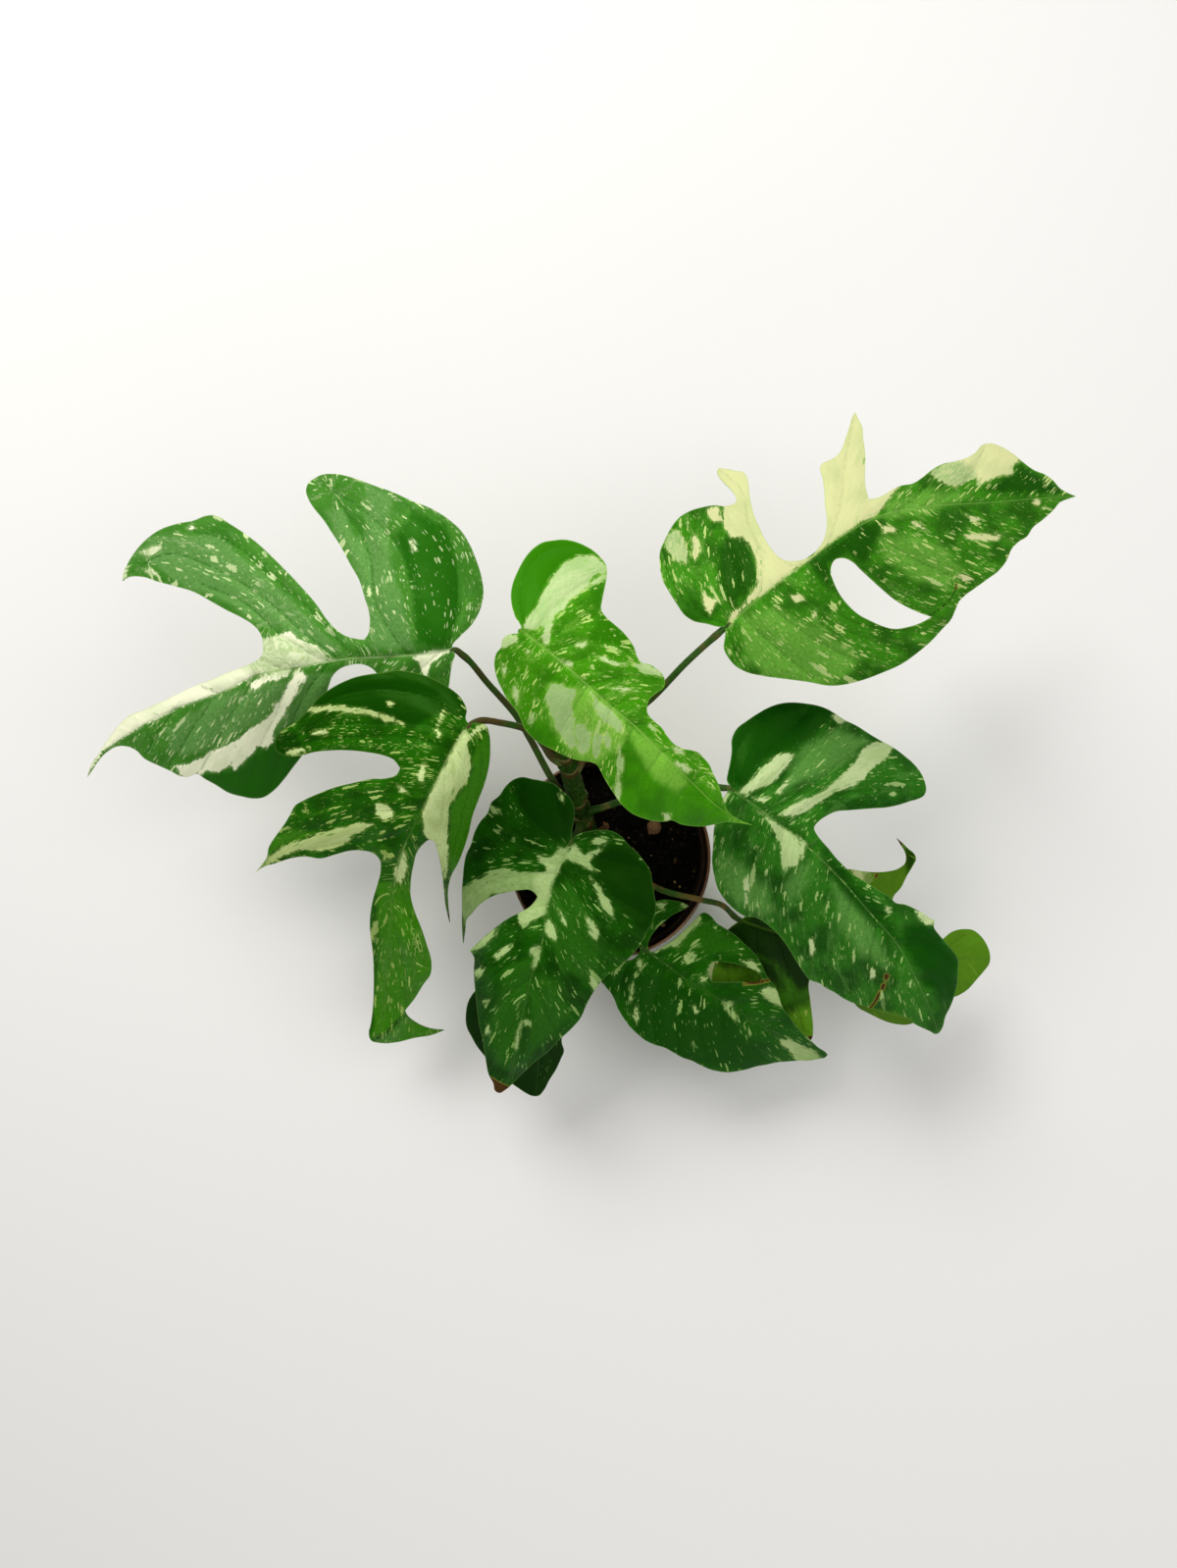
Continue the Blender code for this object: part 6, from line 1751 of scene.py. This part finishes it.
def make_pot():
    net = Net("nursery_pot_plastic")
    at = net.place()
    x, y, z = net.parts(at)
    cloud = net.noise(at, 0.05, 3.0, 0.5)
    fine = net.noise(at, 1.4, 3.0, 0.6)
    drawn = net.noise(net.moved(at, (1, 1, 0.06)), 0.5, 2.0, 0.5)
    colour = net.mix(net.step(cloud, 0.35, 0.65), linear(106, 70, 37), linear(86, 55, 29))
    colour = net.mix((drawn - 0.5) * 0.5 + 0.15, colour, linear(76, 48, 24))
    splash = net.noise(at, 0.22, 4.0, 0.65)
    low_dust = 1.0 - net.step(z + (splash - 0.5) * 26.0, 2.0, 20.0)
    colour = net.mix(low_dust * 0.35, colour, linear(140, 112, 78))
    # Painted shade: the pot's inner wall is coloured near black for the shade inside it.
    wall = net.least((z - 80.0) * 0.155 + 48.6 + net.step(z, 85.0, 86.5) * 1.9, 51.15)
    inner_wall_shade = net.step(wall - net.math("SQRT", x * x + y * y) + (splash - 0.5) * 0.3, 0.15, 0.42)
    colour = net.mix(inner_wall_shade * 0.95, colour, linear(11, 7, 4))
    scuff = net.step(net.noise(net.moved(at, (1, 1, 0.2)), 0.9, 3.0, 0.7), 0.66, 0.72)
    colour = net.mix(scuff * 0.25, colour, linear(160, 126, 88))
    normal = net.bump(fine, 0.18, 0.15, net.bump(drawn, 0.25, 0.4))
    plastic = net.finish(colour, 0.40 + (fine - 0.5) * 0.14 + scuff * 0.15, normal, Specular_IOR_Level=0.5)
    top, collar = 93.0, 85.5
    profile = [(0.0, 2.2), (34.4, 2.2), (35.4, 3.2)]
    for k in range(1, 8):
        z = 3.2 + (collar - 1.0 - 3.2) * k / 8
        profile.append((35.4 + (48.6 - 35.4) * (z - 3.2) / (collar - 4.2), z))
    profile += [
        (48.6, collar - 1.0), (50.6, collar + 1.4), (50.7, top - 0.9), (51.1, top - 0.2), (51.6, top),
        (52.1, top - 0.2), (52.5, top - 0.9), (52.5, collar + 0.8), (52.0, collar + 0.2), (50.2, collar),
    ]
    for z in (64.0, 44.0, 24.0):
        r = 37.5 + (50.2 - 37.5) * (z - 1.2) / (collar - 1.2)
        profile += [(r + 0.02, z + 0.7), (r + 0.32, z + 0.35), (r + 0.32, z - 0.35), (r - 0.05, z - 0.7)]
    profile += [(37.5, 1.2), (36.4, 0.0), (33.0, 0.0), (32.2, 0.9), (0.0, 0.9)]
    pot = turned("nursery_pot", rounded(profile, 0.45, 3), 192, plastic)
    cutters = []
    for i in range(8):
        angle = 2 * math.pi * (i + 0.5) / 8
        made = bmesh.new()
        bmesh.ops.create_cone(made, cap_ends=True, segments=28, radius1=0.0035, radius2=0.0035, depth=0.013)
        bmesh.ops.translate(made, verts=made.verts, vec=(26 * math.cos(angle) * MM, 26 * math.sin(angle) * MM, 0.0011))
        mesh = bpy.data.meshes.new("hole_cutter")
        made.to_mesh(mesh)
        made.free()
        cutter = bpy.data.objects.new("hole_cutter_%d" % i, mesh)
        bpy.context.scene.collection.objects.link(cutter)
        cutters.append(cutter)
        cut = pot.modifiers.new("hole_%d" % i, "BOOLEAN")
        cut.object = cutter
        cut.operation = "DIFFERENCE"
    bpy.context.view_layer.update()
    graph = bpy.context.evaluated_depsgraph_get()
    cut_mesh = bpy.data.meshes.new_from_object(pot.evaluated_get(graph))
    pot.modifiers.clear()
    pot.data = cut_mesh
    for cutter in cutters:
        bpy.data.objects.remove(cutter, do_unlink=True)
    pot.data.shade_smooth()
    pot.data.set_sharp_from_angle(angle=math.radians(40))
    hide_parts("pot")


def make_soil():
    net = Net("potting_mix")
    at = net.place()
    broad = net.noise(at, 0.16, 3.0, 0.6)
    fine = net.noise(at, 0.9, 4.0, 0.65)
    crumbs = net.cells(at, 0.55)
    colour = net.mix(net.step(fine, 0.42, 0.66), linear(3, 3, 2), linear(13, 9, 5))
    colour = net.mix(net.step(broad, 0.55, 0.72) * 0.4, colour, linear(14, 16, 6))
    colour = net.mix(net.step(crumbs, 0.30, 0.10) * net.step(fine, 0.52, 0.62) * 0.4, colour, linear(58, 40, 18))
    normal = net.bump(fine + crumbs, 0.9, 1.4)
    mix = net.finish(colour, 0.93, normal, Specular_IOR_Level=0.04)
    rings, steps = ((52, 168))
    points, faces = [], []

    def top(x, y, r):
        lump = 1.3 * noise.noise(Vector((x * 0.11, y * 0.11, 2.0))) + 0.9 * noise.noise(Vector((x * 0.33, y * 0.33, 5.0)))
        lump += 0.55 * noise.noise(Vector((x * 0.9, y * 0.9, 9.0)))
        mound = 1.2 * math.exp(-((x + 8.6) ** 2 + (y - 5.4) ** 2) / 160.0)
        return 81.6 + lump + mound - 1.4 * max(0.0, (r - 40.0) / 8.0)

    points.append((0.0, 0.0, top(0.0, 0.0, 0.0)))
    for i in range(1, rings + 1):
        r = 48.3 * i / rings
        for k in range(steps):
            angle = 2 * math.pi * (k + 0.5 * (i % 2)) / steps
            x, y = r * math.cos(angle), r * math.sin(angle)
            points.append((x, y, top(x, y, r) if i < rings else 79.5))
    faces += [(0, 1 + k, 1 + (k + 1) % steps) for k in range(steps)]
    for i in range(rings - 1):
        a, b = 1 + i * steps, 1 + (i + 1) * steps
        for k in range(steps):
            n = (k + 1) % steps
            faces.append((a + k, b + k, b + n, a + n))
    # Its buried side follows the pot's wall down to the floor, with a closed bottom.
    last = 1 + (rings - 1) * steps
    for r, z in ((46.9, 75.0), (41.0, 38.0), (35.0, 3.8), (33.8, 2.7)):
        first = len(points)
        points += [(r * math.cos(2 * math.pi * k / steps), r * math.sin(2 * math.pi * k / steps), z) for k in range(steps)]
        for k in range(steps):
            n = (k + 1) % steps
            faces.append((last + k, first + k, first + n, last + n))
        last = first
    points.append((0.0, 0.0, 2.7))
    faces += [(len(points) - 1, last + (k + 1) % steps, last + k) for k in range(steps)]
    soil = new_object("soil_fill", points, faces, mix)
    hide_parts("soil")

    # Crumbs and bark chips on top of it.
    net = Net("soil_crumbs")
    at = net.place()
    tint = net.attribute("tint", vector=False)
    fine = net.noise(at, 1.6, 3.0, 0.65)
    colour = net.mix(net.step(tint, 0.2, 0.75), linear(4, 4, 2), linear(24, 17, 8))
    colour = net.mix(net.step(tint, 0.86, 0.93), colour, linear(84, 62, 32))
    colour = net.mix(net.step(tint, 0.955, 0.97), colour, linear(128, 100, 58))
    colour = net.mix(fine * 0.35, colour, linear(20, 15, 7))
    crumb = net.finish(colour, 0.9, net.bump(fine, 0.7, 0.5), Specular_IOR_Level=0.06)
    seeds = random.Random(11)
    verts, quads, tints = [], [], []

    def chip(x, y, z, size, flat, tint):
        ball = bmesh.new()
        bmesh.ops.create_icosphere(ball, subdivisions=2 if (size > 1.2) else 1, radius=1.0)
        turn = Matrix.Rotation(seeds.uniform(0, 6.28), 3, Vector((seeds.uniform(-1, 1), seeds.uniform(-1, 1), seeds.uniform(-1, 1))).normalized())
        shape = Vector((size * seeds.uniform(0.7, 1.5), size * seeds.uniform(0.6, 1.1), size * flat))
        key = seeds.uniform(0, 50)
        first = len(verts)
        for v in ball.verts:
            p = v.co * (1.0 + 0.32 * noise.noise(v.co * 1.7 + Vector((key, 0, 0))))
            p = turn @ Vector((p.x * shape.x, p.y * shape.y, p.z * shape.z))
            verts.append((x + p.x, y + p.y, z + p.z))
            tints.append(tint)
        quads.extend([[first + v.index for v in f.verts] for f in ball.faces])
        ball.free()

    for _ in range(1500):
        r = 47.0 * math.sqrt(seeds.random())
        angle = seeds.uniform(0, 2 * math.pi)
        x, y = r * math.cos(angle), r * math.sin(angle)
        if math.hypot(x + 8.6, y - 5.4) < 5.0:
            continue
        size = seeds.choice((0.35, 0.45, 0.55, 0.7, 0.9, 1.3))
        tint = seeds.random() ** 1.4 * 0.93
        chip(x, y, top(x, y, r) + 0.15 * size, size, seeds.uniform(0.35, 0.8), tint)
    for u, v, size in ((693, 904, 1.0), (688, 899, 0.8), (676, 943, 1.1), (645, 865, 0.7), (641, 854, 0.8), (652, 905, 0.6), (664, 872, 0.5)):
        x, y, z = carried(plan([(u, v)]), np.array([83.0]))[0]
        chip(x, y, z, size, 0.8, 0.985)
    crumbs = new_object("soil_crumbs", verts, quads, crumb)
    paint(crumbs, "tint", tints)


def make_bead():
    """A round fired-clay bead on the soil, with the short tail that its drop left."""
    net = Net("clay_bead_skin")
    at = net.place()
    fine = net.noise(at, 1.8, 4.0, 0.65)
    pits = net.cells(at, 1.9)
    colour = net.mix(net.step(fine, 0.35, 0.66), linear(74, 50, 28), linear(126, 90, 54))
    colour = net.mix(net.step(pits, 0.16, 0.04) * 0.6, colour, linear(40, 26, 14))
    clay = net.finish(colour, 0.8, net.bump(fine + pits * 0.5, 0.7, 0.5), Specular_IOR_Level=0.3)
    low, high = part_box("clay_bead")
    centre = (Vector(low) + Vector(high)) / 2 / MM
    ball = bmesh.new()
    bmesh.ops.create_icosphere(ball, subdivisions=5, radius=3.8)
    for v in ball.verts:
        d = v.co.normalized()
        tail = max(0.0, d.dot(Vector((-0.6, -0.75, 0.2)).normalized())) ** 26
        v.co = v.co * (1.0 + 0.025 * noise.noise(d * 2.3) + 0.22 * tail)
    ball_points = [(v.co + centre)[:] for v in ball.verts]
    ball_faces = [[v.index for v in f.verts] for f in ball.faces]
    ball.free()
    bead = new_object("clay_bead_fired", ball_points, ball_faces, clay)
    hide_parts("clay_bead")


def make_sheath():
    """The dried sheath at the stem's foot: a curled papery strip with a torn tip."""
    net = Net("papery_sheath")
    at = net.place()
    along, fibres, fine = bark_noise(net, 0.6)
    colour = net.mix(net.step(fibres, 0.35, 0.65), linear(126, 88, 48), linear(82, 54, 28))
    colour = net.mix(net.step(fine, 0.55, 0.7) * 0.5, colour, linear(170, 134, 84))
    paper = net.finish(colour, 0.8, net.bump(fibres + fine * 0.5, 0.7, 0.35), Specular_IOR_Level=0.25)
    low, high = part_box("dry_sheath")
    foot, axis = stem_at(90.0)
    tip = (np.array(low) + np.array(high)) / 2 / MM
    line = eased_line([foot + np.array((3.5, 0.5, 0.0)), tip + np.array((0.3, -0.6, -0.6)), carried(plan([(615, 838)]), np.array([100.4]))[0]], 0.4)
    share = np.linspace(0, 1, len(line))
    radii = np.interp(share, [0, 0.3, 0.8, 1.0], [2.2, 1.9, 1.1, 0.3])
    piece = sweep("dried_sheath", line, radii, paper, sides=18, groove=0.75, flat_by=0.35, warts=0.35, seed=8.0)
    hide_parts("dry_sheath")


# ---- build ---------------------------------------------------------------------
for leaf_name in LEAVES:
    make_blade(leaf_name)
make_stem()
for short, (height, marks, blush, share) in PETIOLES.items():
    make_petiole(short, height, marks, blush, share)
for leaf_name in LEAVES:
    make_underrib(leaf_name)
make_pot()
make_soil()
make_bead()
make_sheath()


# ---- stage ---------------------------------------------------------------------
def plain(name, colour, rough):
    mat = bpy.data.materials.new(name)
    mat.use_nodes = True
    shader = mat.node_tree.nodes["Principled BSDF"]
    shader.inputs["Base Color"].default_value = (*colour, 1.0)
    shader.inputs["Roughness"].default_value = rough
    return mat


floor_mesh = bpy.data.meshes.new("floor")
floor_mesh.from_pydata([(-4, -4, 0), (4, -4, 0), (4, 4, 0), (-4, 4, 0)], [], [(0, 1, 2, 3)])
floor = bpy.data.objects.new("floor", floor_mesh)
bpy.context.scene.collection.objects.link(floor)
floor_mesh.materials.append(plain("pale_floor", (0.80, 0.79, 0.77), 0.9))


def area(name, place, aim, size, power, colour=(1, 1, 1)):
    data = bpy.data.lights.new(name, "AREA")
    data.energy = power
    data.size = size
    data.color = colour
    lamp = bpy.data.objects.new(name, data)
    lamp.location = place
    lamp.rotation_euler = (Vector(aim) - Vector(place)).to_track_quat("-Z", "Y").to_euler()
    bpy.context.scene.collection.objects.link(lamp)


area("key_window", (-0.55, 1.05, 1.25), (0.0, 0.03, 0.12), 0.8, 22.0, (1.0, 0.985, 0.96))
area("soft_top", (0.75, 0.15, 1.5), (0.0, 0.03, 0.10), 1.2, 9.0)
area("low_fill", (0.5, -1.3, 0.8), (0.0, 0.0, 0.12), 1.0, 4.0, (1.0, 0.99, 0.97))

world = bpy.data.worlds.new("studio")
world.use_nodes = True
world.node_tree.nodes["Background"].inputs["Color"].default_value = (1.0, 1.0, 1.0, 1.0)
world.node_tree.nodes["Background"].inputs["Strength"].default_value = 0.30
bpy.context.scene.world = world

scene = bpy.context.scene
scene.view_settings.view_transform = "Standard"

eye = bpy.data.cameras.new("photo_view")
eye.lens = 24.74
eye.sensor_width = 36.0
eye.clip_start = 0.01
camera = bpy.data.objects.new("photo_view", eye)
camera.location = (SIGHT[0] * MM, SIGHT[1] * MM, SIGHT[2] * MM)
camera.rotation_euler = (0.0, 0.0, 0.0)
scene.collection.objects.link(camera)
scene.camera = camera
